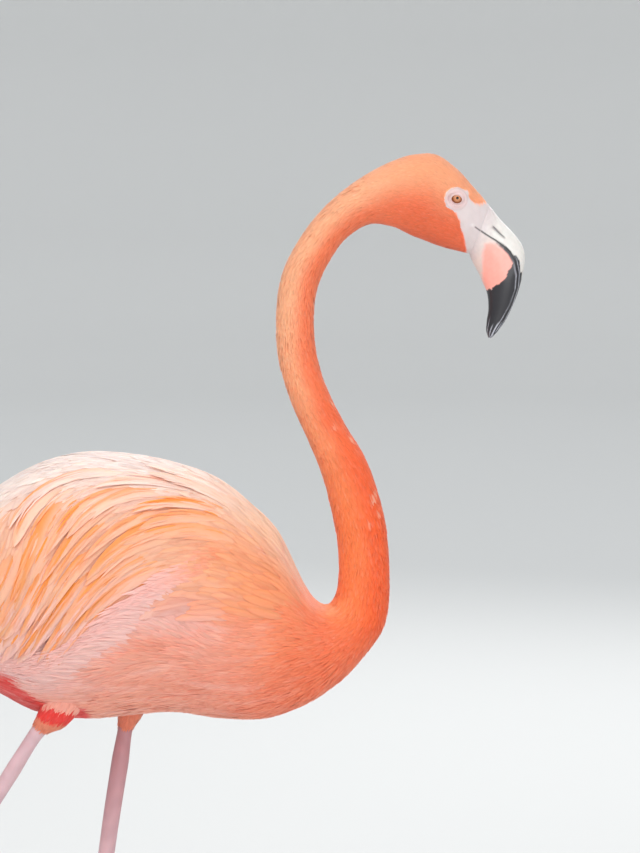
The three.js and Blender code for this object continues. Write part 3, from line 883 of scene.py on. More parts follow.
@dataclass(frozen=True)
class LegSkin:
    """The bare skin of a leg and its webbed foot, with its scutes."""

    leg: Leg
    around: int = 28
    scute: float = 1.5
    web: float = 1.3
    knuckles: tuple[float, ...] = (0, 0.22, 0.36, 0.5, 0.64, 0.8, 0.92, 1.0)
    # The upper tone is painted shade: the far leg's upper part, under the belly.
    upper: Array = tone(176, 125, 129)
    shank: Array = tone(200, 165, 170)
    joint: Array = tone(190, 128, 136)
    sole: Array = tone(188, 132, 140)

    def shaft(self) -> Mesh:
        """Make the leg from inside the thigh down into the foot.

        Returns:
            A closed tube with broad scutes down the front of the shank.
        """
        loft = self.leg.loft
        t = even(loft, 1.2, 16.0, self.scute)
        turn = circle(self.around)
        tt, rr = np.meshgrid(t, turn, indexing="ij")
        grow = -np.interp(tt, [1.2, 2.2, 3.2, 3.8], [3.0, 2.8, 1.0, 0.0])
        row = np.arange(len(t))[:, None]
        front = ease(0.35, 0.75, -np.cos(rr)) * ease(9.6, 10.4, tt) * ease(15.9, 15.3, tt)
        back = ease(0.5, 0.9, np.cos(rr)) * ease(9.8, 10.6, tt) * ease(15.9, 15.3, tt)
        groove = np.where(row % 3 == 0, 1.0, 0.0)
        fine = np.where(row % 2 == 0, 1.0, 0.0)
        grow = grow + front * (0.06 - 0.14 * groove) + back * (0.03 - 0.08 * fine)
        knee = np.exp(-(((tt - 8.8) / 0.6) ** 2))
        grow = grow + knee * 0.35 * np.cos(row * 1.3) * ease(-0.2, 0.6, -np.cos(rr))
        bm = bmesh.new()
        tube(bm, loft.surface(tt, rr, grow))
        return bm

    def outline(self, turn: Array) -> Array:
        """Say how far the foot reaches in each direction.

        Args:
            turn: Degrees from the heading.

        Returns:
            Millimetres from the ball.
        """
        reach = np.full(turn.shape, 8.6)
        for toe in TOES:
            off = np.radians(np.abs(turn - toe.turn))
            side = 3.2 / np.maximum(np.sin(np.minimum(off, np.pi / 2)), 0.02)
            lobe = np.where(off < 1.4, np.minimum(toe.bone * (1.0 - 2.2 * off**2), side), 0.0)
            reach = np.maximum(reach, lobe)
        for a, b in zip(TOES, TOES[1:]):
            share = (turn - a.turn) / (b.turn - a.turn)
            span = (a.length + (b.length - a.length) * share) - CLAW_LENGTH - 7.0
            edge = span * (1.0 - 0.2 * np.sin(np.pi * np.clip(share, 0, 1)) ** 0.8)
            reach = np.where((share > 0) & (share < 1), np.maximum(reach, edge), reach)
        return reach

    def foot(self) -> Mesh:
        """Make the foot: toes with knuckles, webs between them, and a flat sole.

        Returns:
            A closed mesh that stands on the floor.
        """
        turn = np.concatenate([np.arange(-38, 43, 0.75), np.linspace(43, 322, 26)[1:-1]])
        share = np.concatenate([[0.0, 0.04], np.linspace(0.09, 0.93, 84), [0.96, 0.98, 0.995]])
        far, tt = np.meshgrid(share, turn, indexing="ij")
        r = far * self.outline(tt)
        height = np.full(r.shape, self.web) + 0.12 * np.sin(r * 0.9) * ease(10, 30, r)
        for toe in TOES:
            off = np.radians(tt - toe.turn)
            along, across = r * np.cos(off), r * np.sin(off)
            half = np.interp(along / toe.bone, self.knuckles, [5.4, 4.2, 4.6, 3.7, 4.1, 3.4, 3.6, 3.0])
            top = np.interp(along / toe.bone, self.knuckles, [9.2, 7.2, 7.8, 6.2, 6.8, 5.6, 5.8, 4.6])
            scales = 0.14 * np.cos(2 * np.pi * along / 2.6)
            ridge = (top + scales) * np.sqrt(np.clip(1.0 - (across / half) ** 2, 0.0, 1.0))
            height = np.where(along > 0, np.maximum(height, ridge), height)
        dome = 12.6 * np.sqrt(np.clip(1.0 - (r / 9.0) ** 2, 0.0, 1.0))
        height = np.maximum(height, dome)
        inward = np.array([1.0, 0.8, 0.55, 0.3, 0.1, 0.0])[:, None]
        sole = self.leg.reach(turn[None], inward * (r[-1:] + 0.05), 0.0)
        rings = np.concatenate([self.leg.reach(tt, r, height), sole])
        bm = bmesh.new()
        wrap(bm, rings)
        return bm

    def hind_toe(self) -> Mesh:
        """Make the small raised hind toe.

        Returns:
            A closed tapered tube.
        """
        steps = ((0.0, 10.0, 3.4), (6.0, 9.0, 3.0), (11.0, 7.4, 2.7), (15.0, 6.0, 2.3), (16.6, 5.3, 1.2))
        turn = circle(14)
        side = unit(self.leg.reach(HIND_TURN + 90.0, 1.0) - self.leg.reach(HIND_TURN, 0.0))
        ring = np.outer(np.cos(turn), [0.0, 0.0, 1.0]) + np.outer(np.sin(turn), side)
        rings = [self.leg.reach(HIND_TURN, far, high) + thick * MM * ring for far, high, thick in steps]
        bm = bmesh.new()
        tube(bm, np.array(rings))
        return bm

    def colours(self, p: Array) -> Array:
        """Colour the bare leg by height and by place, with painted shade on the far leg's upper part, under
        the belly.

        Args:
            p: Points on the leg, in metres.

        Returns:
            Linear colours.
        """
        z = p[..., 2] / MM
        # Painted shade: the far, left leg takes the darker upper tone on its upper part, fading out towards
        # the heel; the near, right leg is shank colour all the way down.
        near = 1.0 if self.leg.side is Side.RIGHT else 0.0
        colour = blend(self.upper, self.shank, ease(500.0, 330.0, z) * (1 - near) + near)
        colour = blend(colour, self.joint, np.exp(-(((z - 318.0) / 26.0) ** 2)) * 0.8)
        colour = blend(colour, self.sole, ease(40.0, 5.0, z))
        return colour * (1.0 + 0.07 * ripple(p, 0.006, 2.0))[..., None]


# ---------- the skin


@dataclass(frozen=True)
class Skin:
    """The one skin from the bill's base to the toes, inside the coat."""

    around: int = 64
    opening: Pair = (4.5, 3.3)  # half the gap between the lids, along and across
    about_gape: Pair = (6.5, 9.0)  # how far about the gape the mesh is finer, and shaped
    about_eye: Triple = (6.5, 11.0, 12.5)  # how far about the eye it is finest, finer, and shaped
    finish: Finish = Finish("bare_skin", 0.5, subsurface=0.15, grain=0.35, grain_size=900.0)

    def body(self) -> Mesh:
        """Make the trunk, neck and head as one closed tube, finer about the eyes.

        Returns:
            The body's mesh.
        """
        lengths = ((0, NECK_START, 5.5), (NECK_START, HEAD_START, 4.5), (HEAD_START, BODY.last, 2.0))
        t = np.concatenate([*(even(BODY, *part)[:-1] for part in lengths), [float(BODY.last)]])
        turn = circle(self.around)
        tt, rr = np.meshgrid(t, turn, indexing="ij")
        rings = BODY.surface(tt, rr, -FORM.coat_depth(tt, rr))
        end = np.full(self.around, float(BODY.last))
        lip = BODY.surface(end, turn, -0.32) + np.array([0.15, 0.0, -0.2]) * MM
        inner = BODY.surface(end, turn, -5.0) + np.array([2.0, 0.0, -2.6]) * MM
        bm = bmesh.new()
        tube(bm, np.concatenate([rings, lip[None], inner[None]]))
        self._shape_eyes(bm)
        return bm

    def _shape_eyes(self, bm: Mesh) -> None:
        """Open the lids and fold the skin about each eye, and groove it where the bill parts.

        Args:
            bm: The body's mesh, which is changed.
        """
        eye = np.array(FORM.eye)
        gape = np.mean(np.array(FORM.gape), axis=0)

        def aside(v: bmesh.types.BMVert) -> float:
            """Measure how far a vertex is from the end of the bill's parting."""
            return math.hypot(v.co.x / MM - gape[0] + 2.0, v.co.z / MM - gape[1] - 1.0)

        edges = [e for e in bm.edges if min(aside(v) for v in e.verts) < self.about_gape[0]]
        bmesh.ops.subdivide_edges(bm, edges=edges, cuts=4, use_grid_fill=True)
        for v in bm.verts:
            if aside(v) < self.about_gape[1] and abs(v.co.y) > 0.004:
                groove, swelling = FORM.corner(np.array(v.co))
                v.co.y += math.copysign(0.3 * float(swelling) - 0.5 * float(groove), v.co.y) * MM

        def off(v: bmesh.types.BMVert) -> float:
            """Measure how far a vertex is from the eye's middle."""
            return math.hypot(v.co.x / MM - eye[0], v.co.z / MM - eye[1])

        edges = [e for e in bm.edges if min(off(v) for v in e.verts) < self.about_eye[1]]
        bmesh.ops.subdivide_edges(bm, edges=edges, cuts=4, use_grid_fill=True)
        edges = [e for e in bm.edges if min(off(v) for v in e.verts) < self.about_eye[0]]
        bmesh.ops.subdivide_edges(bm, edges=edges, cuts=1, use_grid_fill=True)
        for v in bm.verts:
            if off(v) < self.about_eye[2] and abs(v.co.y) > 0.01:
                side = math.copysign(1.0, v.co.y)
                v.co.y = side * self._lid(v.co.x / MM - eye[0], v.co.z / MM - eye[1], abs(v.co.y) / MM) * MM

    def _lid(self, dx: float, dz: float, skin: float) -> float:
        """Say where the skin lies at a place beside the eye.

        Args:
            dx: Millimetres in front of the eye's middle.
            dz: Millimetres above it.
            skin: How far out the plain skin is there, in millimetres.

        Returns:
            How far out the lids and folds bring it.
        """
        lean = math.radians(-10.0)
        a = dx * math.cos(lean) + dz * math.sin(lean)
        b = -dx * math.sin(lean) + dz * math.cos(lean)
        rho = math.hypot(a / self.opening[0], b / self.opening[1])
        r = math.hypot(dx, dz * 1.06)
        ball = EYE_APART + math.sqrt(max(EYE_RADIUS**2 - r * r, 0.0))
        wave = 0.17 * math.cos(2 * math.pi * (r - 6.6) / 2.7) * float(ease(5.6, 6.8, r) * ease(10.9, 9.6, r))
        own = max(skin + 0.9 * float(ease(10.4, 6.4, r)) + wave, ball + 0.3)
        lid = ball + 0.62 - 3.6 * float(ease(1.08, 0.9, rho)) - 0.25 * float(ease(1.25, 1.5, rho))
        return lid + (own - lid) * float(ease(1.3, 1.9, rho))

    def build(self) -> Piece:
        """Join the body, the legs and the feet into one seamless skin.

        Returns:
            The skin.
        """
        material = self.finish.make()
        skin = add_object("skin", self.body(), material)
        points = [places(skin)]
        colours = [self._body_colours(points[0])]
        for leg in LEGS:
            part = LegSkin(leg)
            for label, bm in (("leg", part.shaft()), ("foot", part.foot()), ("hind", part.hind_toe())):
                limb = add_object(f"{label}_{leg.side.label}", bm, material)
                points.append(places(limb))
                colours.append(part.colours(points[-1]))
                self._unite(skin, limb)
        skin.data.shade_smooth()
        paint(skin, np.concatenate(colours)[nearest(np.concatenate(points), places(skin))])
        kinds = ("trunk", "neck", "head", "thigh", "shin", "tarsus", "foot", "wing")
        flesh = [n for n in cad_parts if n.startswith(kinds)]
        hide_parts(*flesh)
        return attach(skin, "root")

    def _body_colours(self, p: Array) -> Array:
        """Tint the body by the nearest place on its loft.

        Args:
            p: The body's points, in metres.

        Returns:
            Linear colours.
        """
        grid = np.meshgrid(np.linspace(0, BODY.last, 331), np.linspace(-np.pi, np.pi, 73), indexing="ij")
        t, turn = (axis.ravel() for axis in grid)
        hit = nearest(BODY.surface(t, turn, -FORM.coat_depth(t, turn)), p)
        colours = MARKS.skin(t[hit], turn[hit])
        ring = FORM.ring - np.linalg.norm(p[:, (0, 2)] / MM - np.array(FORM.eye), axis=1)
        inside = np.maximum(ring, outline_distance(p, FORM.bare_face))
        bare = ease(-0.5, 0.5, inside) * (t[hit] > FACE_START)
        return blend(colours, MARKS.bare_skin(p), bare)

    def _unite(self, skin: Piece, limb: Piece) -> None:
        """Join a limb into the skin for good.

        Args:
            skin: The skin, whose mesh is replaced.
            limb: The limb, which is used up.
        """
        join = skin.modifiers.new("join", "BOOLEAN")
        join.operation = "UNION"
        join.solver = "EXACT"
        join.object = limb
        bpy.context.view_layer.update()
        made = bpy.data.meshes.new_from_object(skin.evaluated_get(bpy.context.evaluated_depsgraph_get()))
        skin.modifiers.clear()
        skin.data = made
        bpy.data.objects.remove(limb)


# ---------- feathers


@dataclass(frozen=True)
class Vane:
    """The plan of one kind of feather: its cross rows, how wide each is, and its spans across."""

    rows: tuple[float, ...]
    widths: tuple[float, ...]
    spans: int
    camber: float = 0.22

    @property
    def across(self) -> Array:
        """The places of the points across one row, from -1 to 1."""
        return np.linspace(-1.0, 1.0, self.spans + 1)

    def pattern(self) -> tuple[Array, Array]:
        """Model one flat feather and read how its faces join its points.

        Returns:
            The corners of all its faces one after another, and the corner count of each face.
        """
        c = self.across
        rings = np.array(
            [[(u, w * a, 0.4 * (1.05 - a * a)) for a in c] for u, w in zip(self.rows, self.widths)]
        )
        bm = bmesh.new()
        loops = tube(bm, rings, poke=False)
        bmesh.ops.recalc_face_normals(bm, faces=bm.faces)
        number = {v: i * len(c) + j for i, loop in enumerate(loops) for j, v in enumerate(loop)}
        corners = [[number[v] for v in face.verts] for face in bm.faces]
        bm.free()
        return np.concatenate([np.array(face) for face in corners]), np.array([len(face) for face in corners])


PLUME_ROWS = 21
VANE_CREASE = 70.0  # degrees past which an edge of a feather stays sharp


def plume_width(row: int) -> float:
    """Say how wide a plume is at one of its rows, as a share of its full width."""
    return 0.06 + 0.94 * math.sin(math.pi * min(0.12 + 0.88 * row / PLUME_ROWS, 1.0) ** 0.9) ** 0.62


class Plan(Enum):
    """The kinds of feather on the bird."""

    SMALL = Vane((0.0, 0.42, 0.82, 1.0), (0.65, 1.0, 0.8, 0.15), 2)
    SOFT = Vane((0.0, 0.3, 0.6, 0.86, 1.0), (0.5, 0.95, 1.0, 0.65, 0.1), 2)
    BROAD = Vane((0.0, 0.18, 0.38, 0.58, 0.76, 0.9, 1.0), (0.45, 0.8, 1.0, 1.0, 0.9, 0.66, 0.22), 4, 0.12)
    PLUME = Vane(
        tuple(row / PLUME_ROWS for row in range(PLUME_ROWS + 1)),
        tuple(plume_width(row) for row in range(PLUME_ROWS + 1)),
        6,
        0.1,
    )


@dataclass(frozen=True)
class Growth:
    """Roots on a loft, with how each feather lies: all lengths in millimetres, all angles in radians."""

    t: Array
    turn: Array
    length: Array
    width: Array
    low: Array
    high: Array
    swing: Array
    roll: Array

    def only(self, keep: Array) -> "Growth":
        """Keep some of the feathers."""
        return Growth(**{name: getattr(self, name)[keep] for name in self.__dataclass_fields__})


def scatter(loft: Loft, span: Pair, row_gap: float, gap: float, rng: Chance) -> tuple[Array, Array]:
    """Set roots in staggered rows round a loft, fewer where its bends bring the rows together.

    Args:
        loft: The surface.
        span: The first and the last section number.
        row_gap: The distance between rows along the middle line, in millimetres.
        gap: The distance between roots in a row.
        rng: The source of chance.

    Returns:
        Section numbers and angles.
    """
    rows = even(loft, span[0], span[1], row_gap)
    ring = np.linspace(-np.pi, np.pi, 181)
    ts, turns = [], []
    for k, t in enumerate(rows):
        p = loft.surface(np.full(ring.shape, t), ring)
        way = travelled(p) / MM
        count = max(6, round(way[-1] / gap))
        place = (np.arange(count) + 0.5 * (k % 2) + rng.uniform(-0.33, 0.33, count)) / count % 1.0
        turns.append(np.interp(place * way[-1], way, ring))
        ts.append(np.full(count, t))
    t, turn = np.concatenate(ts), np.concatenate(turns)
    step = np.gradient(rows)
    t = np.clip(t + rng.uniform(-0.4, 0.4, t.shape) * np.interp(t, rows, step), 0.0, loft.last)
    along, _, _ = loft.axes(t, turn)
    here = np.linalg.norm(along, axis=-1) * np.interp(t, rows, step) / MM
    keep = rng.uniform(0, 1, t.shape) < np.clip(here / row_gap, 0.25, 1.0)
    return t[keep], turn[keep]


@dataclass(frozen=True)
class Coat:
    """One set of feathers of one kind, laid along a flow over a loft."""

    name: str
    loft: Loft
    plan: Plan
    flow: Callable[[Array, Array], Array]
    tint: Callable[[Array, Array], Array]
    finish: Finish
    slot: str
    nodes: tuple[str, ...]
    heading: float = -1.0
    contrast: float = 0.07
    ragged: float = 0.0
    seed: int = 7

    def paths(self, growth: Growth, share: Array | float = 1.0) -> tuple[Array, Array]:
        """Walk from each root along the flow.

        Args:
            growth: The feathers.
            share: The part of each feather's length to walk.

        Returns:
            Section numbers and angles, as feather by row.
        """
        t, turn = growth.t.copy(), growth.turn.copy()
        ts, turns = [t], [turn]
        rows = self.plan.value.rows
        for a, b in zip(rows, rows[1:]):
            along, around, _ = self.loft.axes(t, turn)
            back = unit(along) * self.heading
            down = around * np.sign(turn)[:, None]
            down = unit(down - (down * back).sum(-1, keepdims=True) * back)
            angle = (self.flow(t, turn) + growth.swing)[:, None]
            far = (b - a) * growth.length * share * MM
            step = (np.cos(angle) * back + np.sin(angle) * down) * far[:, None]
            aa, ab, bb = (along * along).sum(-1), (along * around).sum(-1), (around * around).sum(-1)
            sa, sb = (step * along).sum(-1), (step * around).sum(-1)
            det = aa * bb - ab * ab
            t = np.clip(t + (sa * bb - sb * ab) / det, 0.0, self.loft.last)
            turn = turn + np.clip((sb * aa - sa * ab) / det, -0.5, 0.5)
            ts.append(t)
            turns.append(turn)
        return np.stack(ts, 1), np.stack(turns, 1)

    def build(self, growth: Growth, shade: Callable[..., Array] | None = None) -> Piece:
        """Make the feathers as one piece.

        Args:
            growth: The feathers.
            shade: Colours each feather by its own places, if it isn't plain.

        Returns:
            The piece.
        """
        rng = np.random.default_rng(self.seed)
        plan = self.plan.value
        t, turn = self.paths(growth)
        u, w, c = np.array(plan.rows), np.array(plan.widths), plan.across
        height = growth.low[:, None] + (growth.high - growth.low)[:, None] * u**0.8
        spine = self.loft.surface(t, turn, height)
        _, _, normal = self.loft.axes(t, turn)
        tangent = unit(np.gradient(spine, axis=1))
        side = unit(np.cross(normal, tangent))
        up = np.cross(tangent, side)
        half = 0.5 * growth.width[:, None] * w * MM
        if self.ragged:
            half = half * (1.0 + self.ragged * rng.uniform(-1, 1, half.shape))
        round_ = np.maximum(self.loft.at(t)[..., 5], 4.0) * MM
        lift = (plan.camber * half)[..., None] * (1.0 - c * c) - (half**2 / (2 * round_))[..., None] * c * c
        lift = lift + (half * growth.roll[:, None])[..., None] * c
        aside = (half[..., None] * c)[..., None]
        points = spine[:, :, None] + side[:, :, None] * aside + up[:, :, None] * lift[..., None]
        middle = len(u) // 2
        base = self.tint(t[:, middle], turn[:, middle])
        luck = rng.normal(0.0, 1.0, (len(base), 2))
        if shade is None:
            colours = self._shade(base, u, c, luck)
        else:
            colours = shade(base, turn, u, c, luck, growth)
        return self._mesh(growth, points, colours, rng)

    def _shade(self, base: Array, u: Array, c: Array, luck: Array) -> Array:
        """Colour plain feathers: painted shade towards the root, paler at the tip, each a little different.

        Args:
            base: One colour for each feather.
            u: The places of the rows.
            c: The places across.
            luck: Two chance numbers for each feather.

        Returns:
            Colours, as feather by row by place across.
        """
        own = base * (1.0 + self.contrast * luck[:, :1])
        pale = np.array([1.0, 0.86, 0.78]) * own.max(axis=1, keepdims=True)
        own = blend(own, pale, np.clip(0.5 * self.contrast * luck[:, 1], 0.0, 0.5))
        # Painted shade: darker towards the root, where the feathers overlap.
        along = 0.94 + 0.08 * u**0.7
        edge = 1.0 + 0.04 * (c * c)
        return own[:, None, None] * along[None, :, None, None] * edge[None, None, :, None]

    def _mesh(self, growth: Growth, points: Array, colours: Array, rng: Chance) -> Piece:
        """Join all the feathers in one mesh, with its maps and tints.

        Args:
            growth: The feathers.
            points: Their points, as feather by row by place across.
            colours: Their colours, in the same order.
            rng: The source of chance.

        Returns:
            The piece.
        """
        plan = self.plan.value
        corners, counts = plan.pattern()
        many, each = len(points), points.shape[1] * points.shape[2]
        mesh = bpy.data.meshes.new(self.name)
        mesh.vertices.add(many * each)
        mesh.vertices.foreach_set("co", points.reshape(-1).astype(np.float32))
        loops = (np.arange(many)[:, None] * each + corners).reshape(-1)
        mesh.loops.add(len(loops))
        mesh.loops.foreach_set("vertex_index", loops.astype(np.int32))
        totals = np.tile(counts, many)
        mesh.polygons.add(len(totals))
        mesh.polygons.foreach_set("loop_start", (np.cumsum(totals) - totals).astype(np.int32))
        mesh.polygons.foreach_set("loop_total", totals.astype(np.int32))
        mesh.update(calc_edges=True)
        uu = np.repeat(np.array(plan.rows), len(plan.across))[corners]
        cc = np.tile(plan.across, len(plan.rows))[corners]
        low, high = growth.t.min(), growth.t.max()
        share = (growth.t - low) / max(high - low, 1e-6)
        root = np.stack([share, growth.turn / math.tau + 0.5], -1) * 0.98 + 0.01
        patch = np.stack([(uu - 0.5) * PATCH, cc * PATCH / 2], -1)
        chart = mesh.uv_layers.new(name=CHART)
        chart.data.foreach_set("uv", (root[:, None] + patch).reshape(-1).astype(np.float32))
        start = rng.uniform(0, 9, (many, 1, 2))
        size = np.stack([growth.length, growth.width], -1)[:, None] / 40.0
        vane = mesh.uv_layers.new(name="Vane")
        lines = start + np.stack([uu, np.abs(cc)], -1) * size
        vane.data.foreach_set("uv", lines.reshape(-1).astype(np.float32))
        mesh.shade_smooth()
        mesh.set_sharp_from_angle(angle=math.radians(VANE_CREASE))
        mesh.materials.append(self.finish.make())
        piece = put(self.name, mesh)
        paint(piece, np.clip(colours, 0.0, 1.0).reshape(-1, 3))
        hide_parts(*self.nodes)
        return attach(piece, "root")


TAIL = Loft(
    [
        Station(-226, 634, 46, 13, 24), Station(-258, 611, 44, 9, 33), Station(-284, 592, 42, 5.5, 38),
        Station(-300, 580, 40, 3, 36), Station(-307, 575, 40, 1.2, 25),
    ]
)


def blade_loft(side: Side) -> Loft:
    """The closed fan of one wing's flight feathers.

    Args:
        side: Which wing.

    Returns:
        The fan's loft, from inside the body to its tip.
    """
    reach = (
        (-212, 599, 5, 10, 3.2, 50),
        (-248, 591, 7, 9.5, 3, 32),
        (-280, 584, 9, 7, 2.4, 19),
        (-304, 578, 12, 1.6, 0.9, 14),
    )
    return Loft([Station(x, z, tilt, deep, wide, 0.0, y * side.value) for x, z, tilt, deep, wide, y in reach])


@dataclass(frozen=True)
class Lie:
    """How the plumage lies: angles from straight back towards the belly, by place."""

    drape: tuple[float, ...] = (5, 15, 30, 45, 55, 58, 50, 38, 22, 12, 5, 2, 0, 0)

    def cloak(self, t: Array, turn: Array) -> Array:
        """Lay the long feathers of the shoulders and wings, which fall over the side.

        Args:
            t: Section numbers on the body.
            turn: Angles from the back.

        Returns:
            Angles from straight back, in radians.
        """
        a = np.degrees(np.abs(turn))
        side = ease(12, 55, a) * ease(150, 124, a)
        return np.radians(self.fall(t)) * side

    def body(self, t: Array, turn: Array) -> Array:
        """Lay the close feathers of the trunk, which run back and a little down.

        Args:
            t: Section numbers on the body.
            turn: Angles from the back.

        Returns:
            Angles from straight back, in radians.
        """
        a = np.degrees(np.abs(turn))
        down = np.interp(t, [0, 3, 7, 10, 13], [-4, 2, 8, 10, 0]) * ease(40, 90, a) * ease(165, 130, a)
        up = 24.0 * ease(78, 92, a) * ease(128, 108, a) * ease(2.5, 4.5, t) * ease(9.8, 8.2, t)
        return np.radians(down - up + 0.5 * self.fall(t) * ease(15, 50, a) * ease(95, 70, a))

    def fall(self, t: Array) -> Array:
        """How steeply the cloak falls at each section, in degrees."""
        return np.interp(t, np.arange(len(self.drape)), self.drape)

    def straight(self, t: Array, turn: Array) -> Array:
        """Lay feathers straight back."""
        return 0.0 * t


LIE = Lie()


@dataclass(frozen=True)
class Plumes:
    """All the bird's feathers, from the head to the tail and the thighs."""

    satin: Finish = Finish("plumage", 0.62, sheen=0.2, specular=0.2, subsurface=0.3)
    silk: Finish = Finish("long_plumage", 0.56, sheen=0.2, specular=0.25, subsurface=0.3, vane_lines=0.4)
    strands: int = 16  # loose strands along each plume

    def head(self) -> list[Piece]:
        """Feather the head, with the smallest feathers next to the bill.

        Returns:
            The head's coat.
        """
        rng = np.random.default_rng(11)
        t, turn = scatter(BODY, (27.6, 33.0), row_gap=1.9, gap=0.95, rng=rng)
        inside = FORM.bare(t, turn)
        t, turn = t[inside < -0.1], turn[inside < -0.1]
        fine_t, fine_turn = scatter(BODY, (29.0, 33.0), row_gap=0.95, gap=0.7, rng=rng)
        inside = FORM.bare(fine_t, fine_turn)
        edge = (inside < -0.05) & (inside > -1.7)
        size = np.concatenate([np.ones(len(t)), np.full(edge.sum(), 0.5)])
        t, turn = np.concatenate([t, fine_t[edge]]), np.concatenate([turn, fine_turn[edge]])
        size = size * np.interp(t, [27.6, 29.5, 31, 32, 33], [1.3, 1.1, 0.95, 0.8, 0.65])
        growth = self._grow(t, turn, 7.0 * size, 1.3 * size, rng, lift=0.22, wander=7, wave=4.0)
        coat = self._small("coat_head", ("head",), contrast=0.035, seed=12)
        share = np.zeros(len(t))
        for part in np.linspace(0.2, 1.0, 9):
            pt, pr = coat.paths(growth, np.full(len(t), part))
            free = (FORM.bare(pt, pr) < 0.15).all(axis=1)
            share = np.where(free, part, share)
        width = growth.width * np.sqrt(np.maximum(share, 0.25))
        growth = replace(growth, length=growth.length * share, width=width)
        return [coat.build(growth.only(share > 0.1))]

    def neck(self) -> list[Piece]:
        """Feather the neck in two lengths.

        Returns:
            The neck's coats.
        """
        made = []
        parts = (
            ("coat_neck_upper", (20.9, 28.2), ("neck_upper", "neck_middle")),
            ("coat_neck_lower", (13.0, 21.3), ("neck_lower", "neck_base")),
        )
        for k, (name, span, nodes) in enumerate(parts):
            rng = np.random.default_rng(21 + k)
            t, turn = scatter(BODY, span, row_gap=2.9, gap=1.55, rng=rng)
            length = np.interp(t, [13, 16, 24, 28], [16, 13, 11, 9])
            growth = self._grow(t, turn, length, 0.17 * length, rng, lift=0.26, wander=8, wave=5.0)
            made.append(self._small(name, nodes, contrast=0.045, seed=31 + k).build(growth))
        return made

    def trunk(self) -> list[Piece]:
        """Feather the breast, and the trunk's two sides.

        Returns:
            The trunk's coats.
        """
        rng = np.random.default_rng(41)
        t, turn = scatter(BODY, (9.2, 13.9), row_gap=3.2, gap=1.75, rng=rng)
        length = np.interp(t, [9, 11, 13.9], [32, 25, 16])
        growth = self._grow(t, turn, length, 0.09 * length + 0.7, rng, lift=0.5, wander=8, wave=8.0)
        made = self._two_sides("breast", growth, contrast=0.035, seed=44)
        t, turn = scatter(BODY, (0.7, 9.6), row_gap=4.2, gap=2.3, rng=rng)
        seen = (np.abs(turn) > 1.35) | (rng.uniform(0, 1, t.shape) < 0.3)
        t, turn = t[seen], turn[seen]
        length = np.interp(t, [0, 2, 5, 9.6], [28, 40, 42, 33])
        growth = self._grow(t, turn, length, 0.105 * length, rng, lift=0.8, wander=9, wave=9.0)
        return made + self._two_sides("flank", growth, contrast=0.04, seed=48)

    def mantle(self) -> Piece:
        """Lay the soft pale feathers of the back and shoulders.

        Returns:
            The mantle.
        """
        rng = np.random.default_rng(61)
        t, turn = scatter(BODY, (1.2, 12.9), row_gap=6.6, gap=5.2, rng=rng)
        reach = np.radians(np.interp(t, [1, 4, 9, 11, 12.6], [60, 70, 92, 84, 64]))
        keep = np.abs(turn) < reach * rng.uniform(0.85, 1.0, t.shape)
        t, turn = t[keep], turn[keep]
        free = rng.normal(0.0, 1.0, (5, len(t)))
        length = np.interp(t, [1, 3, 9, 11, 12.6], [40, 56, 56, 40, 26]) * vary(0.12, free[0])
        width = np.interp(t, [1, 9, 12.6], [9.5, 9.0, 5.5]) * vary(0.1, free[1])
        rise = np.interp(t, [1, 3, 9, 11, 12.6], [0.2, 0.4, 0.4, 0.2, 0.0])
        rise = rise + 0.3 * tuft(t, turn, 14.0) + 0.05 * free[2]
        low = np.maximum(-FORM.coat_depth(t, turn), -1.8) - 0.3
        swing = np.radians(5) * tuft(t, turn, 20.0, 2.0) + np.radians(1.8) * free[3]
        growth = Growth(t, turn, length, width, low, rise, swing, -np.sign(turn) * 0.05 + 0.02 * free[4])
        coat = Coat(
            "coat_mantle", BODY, Plan.BROAD, LIE.cloak, MARKS.cloak, self.silk, "wing_plumage",
            ("wing_left", "wing_right"), contrast=0.05, seed=62,
        )
        return coat.build(growth, self._streak)

    def plumes(self) -> list[Piece]:
        """Hang the long drooping plumes over each folded wing.

        Returns:
            The two sides' plumes.
        """
        made = []
        for side in Side:
            rng = np.random.default_rng(71 if side is Side.LEFT else 72)
            roots = []
            for tier in range(7):
                start = 9.8 - 0.95 * tier
                low, high = 20 + 2.0 * tier, 94 + 1.5 * tier
                for k, turn in enumerate(np.arange(low, high, 7.0)):
                    early = 0.3 * math.sin(1.9 * k + 1.3 * tier)
                    where = start + early + rng.uniform(-0.35, 0.35)
                    roots.append((where, turn + 3.5 * (tier % 2) + rng.uniform(-2.2, 2.2), tier))
            data = np.array(roots)
            t, turn = data[:, 0], np.radians(data[:, 1]) * side.value
            free = rng.normal(0.0, 1.0, (5, len(t))).clip(-2, 2)
            length = np.interp(data[:, 2], [0, 1, 3, 6], [108, 130, 140, 96]) * (1 + 0.13 * free[0])
            width = np.interp(data[:, 2], [0, 2, 6], [12.5, 15.0, 15.5]) * (1 + 0.2 * free[1])
            rise = np.interp(data[:, 2], [0, 2, 6], [2.8, 3.1, 2.4]) + 0.5 * free[2]
            swing = np.radians(4.0) * ripple(BODY.surface(t, turn), 0.03, 4.0) + np.radians(2.6) * free[3]
            roll = (0.04 * free[4] - 0.05) * side.value
            growth = Growth(t, turn, length, width, np.full(len(t), -2.2), rise, swing, roll)
            coat = Coat(
                f"plumes_{side.label}_long", BODY, Plan.PLUME, LIE.cloak, MARKS.cloak, self.silk,
                "wing_plumage", (f"plumes_{side.label}", f"wing_{side.label}"), contrast=0.04,
                ragged=0.05, seed=73 + side.value,
            )
            growth = self._above_line(coat, growth)
            made.append(coat.build(growth, self._ribbon))
            made.append(self._strands(coat, growth, rng))
        return made

